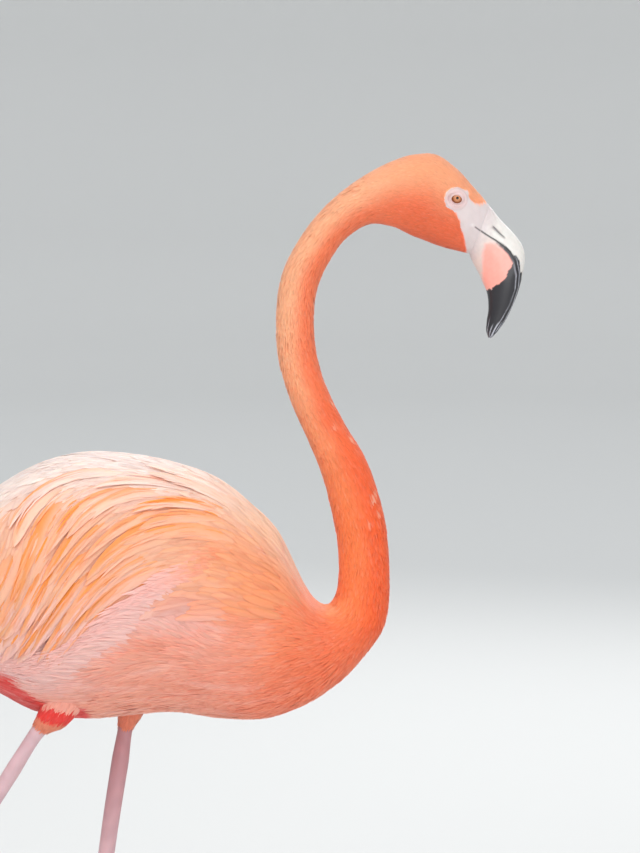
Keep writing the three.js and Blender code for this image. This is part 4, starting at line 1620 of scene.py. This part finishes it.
    def _above_line(self, coat: Coat, growth: Growth) -> Growth:
        """Keep the plumes that end above the loose flank feathers.

        Args:
            coat: The plumes' coat.
            growth: The plumes.

        Returns:
            The plumes that stay, some of them shorter.
        """
        share = np.zeros(len(growth.t))
        for size in (0.6, 0.7, 0.8, 0.9, 1.0):
            t, turn = coat.paths(growth, np.full(len(growth.t), size))
            p = BODY.surface(t, turn) / MM
            x, z = p[..., 0] - SHIFT, p[..., 2]
            share = np.where((z > FORM.hem(x)).all(axis=1), size, share)
        return replace(growth, length=growth.length * share).only(share > 0.1)

    def _strands(self, coat: Coat, growth: Growth, rng: Chance) -> Piece:
        """Lay loose silky strands along the plumes.

        Args:
            coat: The plumes' coat.
            growth: The plumes.
            rng: The source of chance.

        Returns:
            The strands.
        """
        t, turn = coat.paths(growth)
        many = len(growth.t) * self.strands
        own = np.repeat(np.arange(len(growth.t)), self.strands)
        place = rng.uniform(0.0, 0.72, many)
        row = np.minimum((place * PLUME_ROWS).astype(int), PLUME_ROWS - 1)
        aside = rng.uniform(-0.85, 0.85, many)
        _, around, _ = BODY.axes(t[own, row], turn[own, row])
        shift = aside * growth.width[own] * 0.42 * MM / np.linalg.norm(around, axis=1)
        length = growth.length[own] * rng.uniform(0.2, 0.34, many)
        rise = (growth.high - growth.low)[own]
        laid = Growth(
            t=t[own, row],
            turn=turn[own, row] + shift,
            length=length,
            width=rng.uniform(1.3, 2.4, many),
            low=growth.low[own] + rise * place**0.8 + 0.1,
            high=growth.low[own] + rise * np.minimum(place + 0.3, 1.0) ** 0.8 + 0.75,
            swing=np.radians(2.0) * rng.normal(0, 1, many),
            roll=np.zeros(many),
        )
        strong = ease(18, 40, np.degrees(np.abs(laid.turn)))
        orange = ease(0.5, -0.5, -aside * np.sign(around[:, 2])) * strong * rng.uniform(0.5, 1.0, many)
        tints = blend(MARKS.cloak(laid.t, laid.turn), MARKS.plume_deep, orange)
        strand = replace(
            coat,
            name=coat.name.replace("long", "strands"),
            plan=Plan.SOFT,
            ragged=0.0,
            tint=lambda t, turn: tints,
            finish=self.satin,
        )
        return strand.build(laid)

    def fluff(self) -> Piece:
        """Lay the loose pale flank feathers that cover the wing's lower edge.

        Returns:
            The flank's loose feathers.
        """
        rng = np.random.default_rng(81)
        t, turn = scatter(BODY, (2.5, 9.8), row_gap=3.5, gap=1.9, rng=rng)
        p = BODY.surface(t, turn)
        x = p[:, 0] / MM - SHIFT
        below = FORM.hem(x) - p[:, 2] / MM
        keep = (below > -11 - 8 * ease(-100, -125, x)) & (below < 34) & (np.abs(turn) > 0.9)
        keep &= rng.uniform(0, 1, t.shape) < 0.15 + ease(30, 12, below)
        t, turn, x, below = t[keep], turn[keep], x[keep], below[keep]
        free = rng.normal(0.0, 1.0, (5, len(t)))
        length = np.interp(x, [-179, -91, 20], [42, 44, 32]) * vary(0.12, free[0])
        width = 2.9 * vary(0.12, free[1])
        rise = np.interp(x, [-179, -135, -91, -30, 20], [1.2, 1.8, 3.6, 3.0, 0.6]) * ease(36, 8, below)
        rise = rise + 0.55 * tuft(t, turn, 8.0) + 0.06 * free[2]
        turned = np.interp(below, [0, 10, 25], [16, 0, -18]) * ease(-170, -120, x)
        turned = turned + 6 * tuft(t, turn, 16.0, 2.0) + 2 * free[3]
        low = -FORM.coat_depth(t, turn) - 0.3
        growth = Growth(t, turn, length, width, low, rise, np.radians(turned), 0.04 * free[4])
        coat = Coat(
            "coat_flank_loose", BODY, Plan.SOFT, LIE.straight, MARKS.loose, self.satin,
            "body_plumage", ("wing_left", "wing_right"), contrast=0.04, seed=82,
        )
        return coat.build(growth)

    def thighs(self) -> list[Piece]:
        """Feather the short thighs down to the bare shins.

        Returns:
            The two thighs' coats.
        """
        made = []
        for leg in LEGS:
            rng = np.random.default_rng(91 + leg.side.value)
            loft = leg.loft
            t, turn = scatter(loft, (0.2, 2.35), row_gap=2.6, gap=1.8, rng=rng)
            free = rng.normal(0.0, 1.0, (4, len(t)))
            bunch = ripple(loft.surface(t, turn) * np.array([1.0, 1.0, 0.5]), 0.006, 3.0)
            length = np.interp(t, [0, 1.5, 2.35], [22, 17, 9.0]) * vary(0.12, free[0])
            low = -np.interp(t, [0, 1.2, 2.2, 3.2], [3.2, 3.2, 3.0, 1.0])
            high = np.interp(t, [0, 2.0, 2.75], [-0.2, -0.5, -1.0]) + 0.35 * bunch + 0.08 * free[1]
            swing = np.radians(6) * bunch + np.radians(3) * free[2]
            growth = Growth(t, turn, length, 0.14 * length + 0.5, low, high, swing, 0.05 * free[3])
            coat = Coat(
                f"coat_thigh_{leg.side.label}", loft, Plan.SOFT, LIE.straight,
                lambda t, turn, loft=loft: MARKS.thigh(loft.surface(t, turn)), self.satin,
                "body_plumage", (f"thigh_{leg.side.label}",), heading=1.0, contrast=0.04,
                seed=93 + leg.side.value,
            )
            made.append(coat.build(growth))
        return made

    def quills(self) -> list[Piece]:
        """Set the black flight feathers and the pink tail.

        Returns:
            The two wings' flight feathers and the tail.
        """
        made = []
        black = Finish("flight_black", 0.38, vane_lines=0.6)
        for side in Side:
            turns = np.radians(np.array([40.0, 62.0, 84.0, 106.0, 128.0])) * side.value
            many = len(turns)
            growth = Growth(
                t=np.full(many, 0.05),
                turn=turns,
                length=np.linspace(94, 76, many),
                width=np.full(many, 9.5),
                low=np.full(many, -1.2),
                high=np.linspace(0.8, 0.2, many),
                swing=np.zeros(many),
                roll=np.zeros(many),
            )
            coat = Coat(
                f"flight_{side.label}_vanes", blade_loft(side), Plan.PLUME, LIE.straight,
                MARKS.flight, black, "flight_feather", (f"flight_{side.label}",), heading=1.0,
                seed=95,
            )
            made.append(coat.build(growth))
        return [*made, self._tail()]

    def _tail(self) -> Piece:
        """Set the tail: two layers above, one shorter than the other, and a few feathers below.

        Returns:
            The tail.
        """
        layers = [np.arange(-96, 97, 16), np.arange(-80, 81, 20), np.array([124, 152, 180, -152, -124])]
        counts = [len(layer) for layer in layers]
        turns = np.radians(np.concatenate(layers).astype(float))
        many = len(turns)
        rng = np.random.default_rng(97)
        growth = Growth(
            t=np.repeat([0.2, 0.9, 0.2], counts),
            turn=turns,
            length=np.repeat([92.0, 56.0, 88.0], counts) + rng.uniform(-6, 4, many),
            width=np.full(many, 19.0),
            low=np.full(many, -2.0),
            high=np.repeat([-0.6, 0.6, -0.2], counts) + 0.3 * rng.normal(0, 1, many),
            swing=np.radians(2.0) * rng.normal(0, 1, many),
            roll=np.zeros(many),
        )
        coat = Coat(
            "tail_vanes", TAIL, Plan.PLUME, LIE.straight, MARKS.tail, self.silk, "body_plumage",
            ("tail",), heading=1.0, contrast=0.06, seed=98,
        )
        return coat.build(growth)

    def _small(self, name: str, nodes: tuple[str, ...], contrast: float, seed: int) -> Coat:
        """Describe a coat of the smallest feathers, for the head and neck.

        Args:
            name: The piece's name.
            nodes: The nodes of the frame that it covers.
            contrast: How much its feathers differ.
            seed: Its seed.

        Returns:
            The coat, not yet built.
        """
        return Coat(
            name, BODY, Plan.SMALL, LIE.straight, MARKS.plumage, self.satin, "neck_plumage", nodes,
            contrast=contrast, seed=seed,
        )

    def _two_sides(self, part: str, growth: Growth, contrast: float, seed: int) -> list[Piece]:
        """Build close feathers of the trunk as a left and a right piece.

        Args:
            part: The part of the trunk, for the pieces' names.
            growth: The feathers of both sides.
            contrast: How much they differ.
            seed: The left piece's seed; the right one's is the next.

        Returns:
            The two pieces.
        """
        made = []
        for k, (label, own) in enumerate((("left", growth.turn > 0), ("right", growth.turn <= 0))):
            coat = Coat(
                f"coat_{part}_{label}", BODY, Plan.SOFT, LIE.body, MARKS.plumage, self.satin,
                "body_plumage", ("trunk",), contrast=contrast, seed=seed + k,
            )
            made.append(coat.build(growth.only(own)))
        return made

    def _streak(self, base: Array, turn: Array, u: Array, c: Array, luck: Array, growth: Growth) -> Array:
        """Colour a soft feather of the back: pale, with a warmer upper edge, and painted shade towards the
        root.

        Args:
            base: One colour for each feather.
            turn: Angles of its rows; not used.
            u: The places of the rows.
            c: The places across.
            luck: Two chance numbers for each feather.
            growth: The feathers.

        Returns:
            Colours, as feather by row by place across.
        """
        lower = -np.sign(growth.turn)[:, None, None] * c
        each = 0.35 + 0.3 * np.tanh(luck[:, :1, None])
        warm = ease(0.4, -1.0, lower) * each * ease(0.0, 0.4, u)[None, :, None]
        own = base * (1.0 + 0.04 * luck[:, 1:])
        colours = blend(own[:, None, None] * np.ones((1, len(u), len(c), 1)), MARKS.plume_deep, warm * 0.55)
        # Painted shade: darker towards the root, where the feathers overlap.
        return colours * (0.92 + 0.12 * u**0.7)[None, :, None, None]

    def _ribbon(self, base: Array, turn: Array, u: Array, c: Array, luck: Array, growth: Growth) -> Array:
        """Colour a plume: deep orange on its upper side, pale below and at the tip, with painted shade
        towards the root.

        Args:
            base: One colour for each feather.
            turn: Angles of its rows.
            u: The places of the rows.
            c: The places across.
            luck: Two chance numbers for each feather.
            growth: The feathers.

        Returns:
            Colours, as feather by row by place across.
        """
        lower = -np.sign(growth.turn)[:, None, None] * c
        a = np.degrees(np.abs(turn))
        strong = ease(18, 40, a) * (0.75 + 0.25 * ease(110, 90, a)) * (0.7 + 0.3 * np.tanh(1.8 * luck[:, :1]))
        band = ease(0.45, -0.55, lower + 0.3 * np.tanh(luck[:, 1:, None])) * ease(0.05, 0.3, u)[None, :, None]
        band = band * (1 - 0.35 * ease(0.82, 1.0, u))[None, :, None]
        plain = base[:, None, None] * np.ones((1, len(u), len(c), 1))
        colours = blend(plain, MARKS.plume_deep, band * strong[..., None])
        # Painted shade: darker towards the root, where the plumes overlap.
        return colours * (0.92 + 0.11 * u**0.7)[None, :, None, None]

    def _grow(
        self, t: Array, turn: Array, length: Array, width: Array, rng: Chance,
        lift: float, wander: float, wave: float,
    ) -> Growth:
        """Let close feathers grow from the skin out to the bird's own outline, in soft tufts.

        Args:
            t: Section numbers of the roots.
            turn: Angles of the roots.
            length: Lengths.
            width: Widths.
            rng: The source of chance.
            lift: How far the tufts rise and sink, in millimetres.
            wander: How unevenly they point, in degrees.
            wave: How wide a tuft is, in millimetres; it is longer than it is wide.

        Returns:
            The feathers.
        """
        depth = FORM.coat_depth(t, turn)
        free = rng.normal(0.0, 1.0, (5, len(t)))
        high = np.minimum(-0.2 * depth + lift * (tuft(t, turn, wave) + 0.08 * free[0]), 0.8)
        swing = np.radians(wander) * (tuft(t, turn, 1.7 * wave, 2.0) + 0.35 * free[1])
        length = length * vary(0.12, free[3])
        width = width * vary(0.12, free[4])
        return Growth(t, turn, length, width, -depth - 0.35, high, swing, 0.04 * free[2])


# ---------- bill, eyes and claws


BILL = Loft(
    [
        Station(243, 967.1, -22, 23.4, 14.1), Station(249.4, 957.1, -31, 22.9, 13.9),
        Station(258.2, 946, -41, 23.6, 13.6), Station(264, 936.2, -48, 23.9, 13.2),
        Station(266.6, 927.4, -52, 22, 12.6), Station(266.4, 918, -57, 18.6, 11.6),
        Station(265.2, 908.5, -65, 15.2, 10.2), Station(262.4, 897, -78, 11.2, 8.2),
        Station(258, 885, -94, 7.9, 6), Station(254.6, 876.5, -100, 5, 4),
        Station(252.8, 870.6, -102, 1.2, 1.2),
    ]
)


class Jaw(Enum):
    """The bill's two halves."""

    UPPER = 1
    LOWER = -1


@dataclass(frozen=True)
class Bill:
    """The bent bill: a thin upper half that lies like a lid on the deep lower one."""

    length: float = 124.0
    rings: int = 210
    outer: int = 54
    inner: int = 8
    lips: float = 0.16
    overlap: float = 4.0
    nostril: tuple[float, float, float, float] = (271.5, 964.9, 8.7, -43.4)
    parting: Corners = (
        (225, 989.0), (237, 977), (249.3, 970.5), (260, 963.4), (269, 958), (276.2, 952.7),
        (281.6, 947.4), (286.1, 939.3), (288.5, 927.7), (287.7, 915.2), (282.9, 900),
        (276.7, 888.4), (270.5, 878.5), (266.4, 868), (264, 858),
    )
    dark_lower: Corners = (
        (252, 911), (258.7, 914), (264, 914.9), (270.2, 918.4), (277.3, 923.8), (282, 931),
        (284.5, 938), (292, 940), (300, 925), (292, 900), (275, 860), (250, 858), (250, 890),
    )
    dark_upper: Corners = (
        (280, 941), (286.4, 943.5), (289.5, 938), (292.2, 928), (293.6, 919), (296.5, 912.5),
        (302, 908), (300, 880), (262, 855), (255, 870), (276, 905),
    )
    blush: Corners = (
        (256.8, 948), (259, 955.5), (266, 956), (273.5, 952.5), (280, 947), (286, 940),
        (290, 928), (268, 914), (258, 911), (257.4, 922), (257, 936),
    )
    horn: Finish = Finish("bill_horn", 0.36, coat=0.25, subsurface=0.08, grain=0.25, grain_size=600.0)
    ivory: Array = tone(216, 211, 205)
    ash: Array = tone(214, 192, 184)
    pink: Array = tone(241, 160, 146)
    black: Array = tone(30, 28, 34)
    glint: Array = tone(196, 196, 206)

    def split(self, t: Array) -> Array:
        """Find where the parting crosses each section.

        Args:
            t: Section numbers.

        Returns:
            Millimetres above each section's middle.
        """
        line = np.array(self.parting, float)
        way = travelled(line)
        fine = np.linspace(0, way[-1], 600)
        x, z = np.interp(fine, way, line[:, 0]), np.interp(fine, way, line[:, 1])
        out = []
        for row in BILL.at(t):
            lean = math.radians(row[3])
            dx, dz = x - row[0], z - row[2]
            ahead = dx * math.cos(lean) + dz * math.sin(lean)
            above = -dx * math.sin(lean) + dz * math.cos(lean)
            near = np.argmin(np.abs(ahead) + 0.02 * np.abs(above))
            out.append(above[near])
        return np.array(out)

    def _half(self, jaw: Jaw) -> tuple[Mesh, Array]:
        """Make one half.

        Args:
            jaw: Which half.

        Returns:
            Its mesh, and for each vertex its distances in millimetres from the parting and from the
            root, and its angle.
        """
        t = np.concatenate([[-1.0], even(BILL, 0.0, BILL.last, self.length / self.rings)])
        rows = BILL.at(np.clip(t, 0, None))
        cut = np.clip(self.split(np.clip(t, 0, None)) / rows[:, 4], -0.9, 0.9)
        edge = np.arccos(cut)
        rings, marks = [], []
        for k, (row, theta) in enumerate(zip(rows, edge)):
            bounds = (-theta, theta) if jaw is Jaw.UPPER else (theta, math.tau - theta)
            turn = np.linspace(*bounds, self.outer)
            tuck = 0.34 * float(ease(2.5, 0.0, k * self.length / self.rings))
            deep, wide = row[4] - tuck, row[5] - tuck
            up, out = deep * np.cos(turn), wide * np.sin(turn) * self._swell(jaw, turn, theta, t[k])
            lip = row[4] * math.cos(theta)
            up = np.where(jaw.value * (up - lip) < self.lips, lip + self.lips * jaw.value, up)
            across = np.linspace(out[-1], out[0], self.inner + 2)[1:-1]
            arch = 1 - (across / max(abs(out[0]), 0.1)) ** 2
            roof = np.full(self.inner, up[0]) + jaw.value * 0.12 * deep * arch
            ring_up, ring_out = np.concatenate([up, roof]), np.concatenate([out, across])
            back = self.overlap if k == 0 else 0.0
            lean = math.radians(row[3])
            x = row[0] - ring_up * math.sin(lean) - back * math.cos(lean)
            z = row[2] + ring_up * math.cos(lean) - back * math.sin(lean)
            rings.append(np.stack([x, ring_out, z], -1) * MM)
            depth = np.concatenate([np.abs(up - lip), np.zeros(self.inner)])
            way = np.full(len(depth), max(k - 1, 0) * self.length / self.rings)
            marks.append(np.stack([depth, way, np.concatenate([turn, np.zeros(self.inner)])], -1))
        bm = bmesh.new()
        tube(bm, self._carve(np.array(rings), jaw))
        return bm, np.concatenate([*marks, [[0.0, 0.0, 0.0], [0.0, self.length, 0.0]]])

    def _swell(self, jaw: Jaw, turn: Array, theta: float, t: float) -> Array:
        """Shape a section: the lower half is full with a rolled lip, the upper half flat-sided.

        Args:
            jaw: Which half.
            turn: Angles of the section's points.
            theta: The parting's angle.
            t: The section's number.

        Returns:
            Factors on the half width.
        """
        near = np.exp(-((np.minimum(np.abs(turn - theta), np.abs(math.tau - theta - turn)) / 0.16) ** 2))
        if jaw is Jaw.LOWER:
            return 1.0 + 0.035 * near * float(ease(0.0, 1.5, t))
        close = np.exp(-(((np.abs(turn) - theta) / 0.2) ** 2))
        return 1.0 - 0.05 * close * float(ease(0.0, 1.5, t))

    def _from_nostril(self, points: Array) -> tuple[Array, Array]:
        """Measure places from the nostril's middle.

        Args:
            points: Points, in metres.

        Returns:
            How far they are along it and across it, in millimetres.
        """
        x, z, _, lean = self.nostril
        dx, dz = points[..., 0] / MM - x, points[..., 2] / MM - z
        c, s = math.cos(math.radians(lean)), math.sin(math.radians(lean))
        return dx * c + dz * s, -dx * s + dz * c

    def _carve(self, points: Array, jaw: Jaw) -> Array:
        """Press in the nostril slit and the groove that runs on from it.

        Args:
            points: The half's rings.
            jaw: Which half.

        Returns:
            The rings, carved.
        """
        if jaw is Jaw.LOWER:
            return points
        half = self.nostril[2]
        along, across = self._from_nostril(points)
        slit = np.exp(-((across / 0.85) ** 2)) * ease(half, half - 2.0, np.abs(along))
        lid = np.exp(-(((across - 1.7) / 0.7) ** 2)) * ease(half + 1, half - 3.0, np.abs(along))
        groove = 0.35 * np.exp(-((across / 1.6) ** 2)) * ease(half - 3, half + 6, along) * ease(52, 30, along)
        side = np.sign(points[..., 1]) * (np.abs(points[..., 1]) > 2.0 * MM)
        carved = points.copy()
        carved[..., 1] += side * (-1.5 * slit + 0.3 * lid - groove) * MM
        return carved

    def _colours(self, p: Array, marks: Array, jaw: Jaw) -> Array:
        """Mark the bill: ivory lid, pale base, pink cheek, black tip and dark lips, with painted shade in the
        nostril slit, painted highlights along the dark rims, and pale threads near the tip that are partly
        scratches and partly painted glint.

        Args:
            p: Points, in metres.
            marks: For each point its distances from the parting and from the root, and its angle.
            jaw: Which half.

        Returns:
            Linear colours.
        """
        depth, way, turn = marks.T
        wob = 1.3 * ripple(p, 0.0016, 4.0) + 0.9 * ripple(p, 0.0045, 1.0)
        x, z = p[:, 0] / MM, p[:, 2] / MM
        grain = ripple(np.stack([turn * 0.014, way * 0.00012, depth * 0.0002], -1), 0.0022, 2.0)
        outline = outline_distance(p, self.dark_upper if jaw is Jaw.UPPER else self.dark_lower)
        dark = ease(-0.5, 0.5, outline + 0.6 * wob + 1.6 * grain)
        if jaw is Jaw.UPPER:
            colour = self.ivory * np.ones((len(p), 3))
            lip = 0.35 + 1.5 * ease(966, 942, z)
            # Painted shade inside the nostril slit.
            half = self.nostril[2]
            along, across = self._from_nostril(p)
            wide = 0.85 - 0.03 * along
            slit = np.exp(-((across / wide) ** 2)) * ease(half, half - 2, np.abs(along))
            colour = blend(colour, self.black * 4.0, wide * (slit * (np.abs(p[:, 1]) > 2 * MM)))
        else:
            soft = ease(-1.2, 2.4, outline_distance(p, self.blush) + 0.6 * wob)
            colour = blend(blend(self.ash, self.ivory, 0.35 * ease(945, 965, z)), self.pink, soft)
            lip = 0.35 + 2.6 * ease(966, 941, z)
        colour = blend(MARKS.face, colour, ease(-1.0, 17.0, way + 1.5 * wob))
        dark = np.maximum(dark, ease(0.5, -0.5, depth - lip - 0.2 * wob) * ease(0.0, 1.5, way))
        colour = blend(colour * (1 + 0.03 * wob)[:, None], self.black, dark)
        # Painted highlights in the glint tone, on the black only: a line along each half's dark rim, and
        # threads near the tip and along the black's edge that are partly scratches and partly painted glint.
        low = ease(946, 936, z)
        rim = 1.2 if jaw is Jaw.LOWER else 2.4
        line = np.exp(-(((depth - rim) / 0.4) ** 2)) * low * (0.75 + 0.25 * np.tanh(wob))
        scratch_and_glint = ease(899, 880, z) + 0.7 * ease(7.0, 2.0, outline) * ease(276, 268, x)
        threads = ease(0.62, 0.9, grain) * scratch_and_glint
        return blend(colour, self.glint, dark * np.clip(0.75 * line + 0.7 * threads, 0.0, 0.8))

    def build(self) -> list[Piece]:
        """Make both halves.

        Returns:
            The upper and the lower half.
        """
        made = []
        material = self.horn.make()
        for jaw in Jaw:
            name = jaw.name.lower()
            bm, marks = self._half(jaw)
            piece = add_object(f"bill_{name}_horn", bm, material, crease=42.0)
            paint(piece, self._colours(places(piece), marks, jaw))
            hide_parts(f"bill_{name}")
            made.append(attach(piece, "root"))
        return made


@dataclass(frozen=True)
class Eyes:
    """Two small amber eyes with dark pupils."""

    radius: float = EYE_RADIUS
    apart: float = EYE_APART
    gaze: Triple = (0.07, 1.0, 0.13)
    pupil: float = 1.3
    iris: float = 3.9
    clear: Finish = Finish("eye_clear", 0.12, coat=0.12, specular=0.2)
    ring: Array = tone(120, 62, 30)
    amber: Array = tone(202, 138, 98)
    rust: Array = tone(158, 96, 64)
    dark: Array = tone(10, 7, 6)

    def build(self, side: Side) -> Piece:
        """Make one eye.

        Args:
            side: Which eye.

        Returns:
            The eye.
        """
        bm = bmesh.new()
        bmesh.ops.create_uvsphere(bm, u_segments=56, v_segments=90, radius=self.radius * MM)
        gaze = Vector((self.gaze[0], self.gaze[1] * side.value, self.gaze[2])).normalized()
        turn = gaze.to_track_quat("Z", "Y").to_matrix()
        middle = Vector((FORM.eye[0], self.apart * side.value, FORM.eye[1])) * MM
        for v in bm.verts:
            r = math.hypot(v.co.x, v.co.y) / MM
            bulge = 0.35 * float(ease(4.6, 0.0, r)) if v.co.z > 0 else 0.0
            v.co.z += bulge * MM
        bmesh.ops.rotate(bm, verts=bm.verts, cent=(0, 0, 0), matrix=turn)
        bmesh.ops.translate(bm, verts=bm.verts, vec=middle)
        piece = add_object(f"eye_{side.label}_globe", bm, self.clear.make())
        away = places(piece) - np.array(middle)
        along = away @ np.array(gaze)
        r = np.linalg.norm(away - along[:, None] * np.array(gaze), axis=1) / MM
        r = np.where(along > 0, r, 9.0)
        spokes = np.arctan2(away[:, 2], away[:, 0])
        fleck = 0.5 + 0.5 * np.sin(spokes * 23 + 2.0 * np.sin(r * 3.0))
        colour = blend(self.amber, self.rust, ease(1.3, 3.6, r) * 0.75 + 0.25 * fleck)
        colour = blend(colour, self.ring, ease(self.iris - 0.7, self.iris, r))
        colour = blend(colour, self.dark, ease(self.pupil + 0.12, self.pupil - 0.12, r))
        paint(piece, colour)
        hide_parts(f"eye_{side.label}")
        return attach(piece, "root")


@dataclass(frozen=True)
class Claws:
    """The short blunt claws of all the toes, each a row of steps: reach, height and radius.

    A front claw's reach counts from the end of its toe, and the hind claw's from the ball.
    """

    finish: Finish = Finish("claw_horn", 0.35, coat=0.2)
    dark: Array = tone(62, 50, 52)
    front: Steps = ((-1.5, 2.5, 2.2), (2, 2.5, 2.25), (5, 2.0, 1.8), (7.5, 1.4, 1.2), (9, 0.7, 0.5))
    hind: Steps = ((15.2, 6.2, 1.7), (17.2, 5.3, 1.6), (19.0, 4.2, 1.2), (20.6, 3.2, 0.5))

    def build(self) -> Piece:
        """Make all the claws as one piece.

        Returns:
            The claws.
        """
        bm = bmesh.new()
        for leg in LEGS:
            for toe in TOES:
                steps = [(toe.bone + far, high, thick) for far, high, thick in self.front]
                self._claw(bm, leg, toe.turn, steps)
            self._claw(bm, leg, HIND_TURN, self.hind)
        piece = add_object("claws", bm, self.finish.make())
        paint(piece, np.tile(self.dark, (len(piece.data.vertices), 1)))
        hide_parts(*[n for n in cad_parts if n.startswith("claw")])
        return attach(piece, "root")

    def _claw(self, bm: Mesh, leg: Leg, turn: float, steps: Steps) -> None:
        """Add one claw.

        Args:
            bm: The mesh to add to.
            leg: The leg it belongs to.
            turn: The toe's turn.
            steps: Reach, height and radius at each ring.
        """
        side = unit(leg.reach(turn + 90, 1.0) - leg.reach(turn, 0.0))
        around = circle(12)
        rings = []
        for far, high, thick in steps:
            ring = np.outer(np.cos(around), [0.0, 0.0, 1.0]) + np.outer(np.sin(around), side) * 0.85
            rings.append(leg.reach(turn, far, high) + thick * MM * ring)
        tube(bm, np.array(rings))


# ---------- stage and camera


@dataclass(frozen=True)
class Studio:
    """A pale floor that sweeps up far away, soft lights and the camera."""

    eye: Triple = (0.1128, -2.0885, 1.0102)
    aim: Triple = (0.1128, 0.0, 0.79065)
    lens: float = 98.46

    def build(self) -> None:
        """Set the floor, the lights and the camera."""
        bpy.context.scene.view_settings.view_transform = "Standard"
        self._floor()
        self._lamp("key", (-1.0, -1.8, 2.9), 2.6, 45.0, (1.0, 0.985, 0.96))
        self._lamp("fill", (1.4, -3.2, 0.9), 2.6, 56.0, (0.97, 0.985, 1.0))
        self._lamp("back", (0.8, 2.6, 2.2), 2.4, 30.0, (1.0, 1.0, 1.0))
        world = bpy.data.worlds.new("studio")
        world.use_nodes = True
        world.node_tree.nodes["Background"].inputs["Color"].default_value = (0.94, 0.97, 1.0, 1.0)
        world.node_tree.nodes["Background"].inputs["Strength"].default_value = 1.05
        bpy.context.scene.world = world
        data = bpy.data.cameras.new("camera")
        data.lens = self.lens
        data.clip_end = 100.0
        camera = put("camera", data)
        camera.location = self.eye
        camera.rotation_euler = (Vector(self.aim) - Vector(self.eye)).to_track_quat("-Z", "Y").to_euler()
        bpy.context.scene.camera = camera

    def _floor(self) -> None:
        """Make the round floor with its far edge swept up."""
        bm = bmesh.new()
        reach = (0.0, 1.5, 6.0, 9.0, 10.0, 11.0, 11.7, 12.0, 12.0)
        height = (0.0, 0.0, 0.0, 0.0, 0.15, 0.7, 1.8, 3.4, 6.0)
        verts = [bm.verts.new((x, 0.0, z)) for x, z in zip(reach, height)]
        edges = [bm.edges.new(pair) for pair in zip(verts, verts[1:])]
        bmesh.ops.spin(
            bm, geom=verts + edges, cent=(0, 0, 0), axis=(0, 0, 1), angle=math.tau, steps=72, use_merge=True
        )
        bmesh.ops.remove_doubles(bm, verts=bm.verts, dist=1e-5)
        material = bpy.data.materials.new("pale_floor")
        material.use_nodes = True
        shader = material.node_tree.nodes["Principled BSDF"]
        shader.inputs["Base Color"].default_value = (0.66, 0.66, 0.65, 1.0)
        shader.inputs["Roughness"].default_value = 0.85
        floor = add_object("floor", bm, material)

    def _lamp(self, name: str, place: Triple, size: float, watts: float, colour: Triple) -> None:
        """Hang one large soft lamp, aimed at the bird's middle.

        Args:
            name: Its name.
            place: Where it hangs, in metres.
            size: The side of its square, in metres.
            watts: Its power.
            colour: Its colour.
        """
        data = bpy.data.lights.new(name, "AREA")
        data.shape = "SQUARE"
        data.size = size
        data.energy = watts
        data.color = colour
        lamp = put(name, data)
        lamp.location = place
        lamp.rotation_euler = (Vector((0.0, 0.0, 0.7)) - Vector(place)).to_track_quat("-Z", "Y").to_euler()


def main() -> None:
    """Build the bird piece by piece."""
    Studio().build()
    skin = Skin().build()
    log.info("%s: %d faces", skin.name, len(skin.data.polygons))
    plumes = Plumes()
    pieces = [*plumes.head(), *plumes.neck(), *plumes.trunk(), plumes.mantle(), *plumes.plumes()]
    pieces += [plumes.fluff(), *plumes.thighs(), *plumes.quills(), *Bill().build()]
    pieces += [*(Eyes().build(side) for side in Side), Claws().build()]
    for piece in pieces:
        log.info("%s: %d faces", piece.name, len(piece.data.polygons))


if __name__ == "__main__":
    logging.basicConfig(level=logging.INFO, format="%(name)s: %(message)s")
    main()
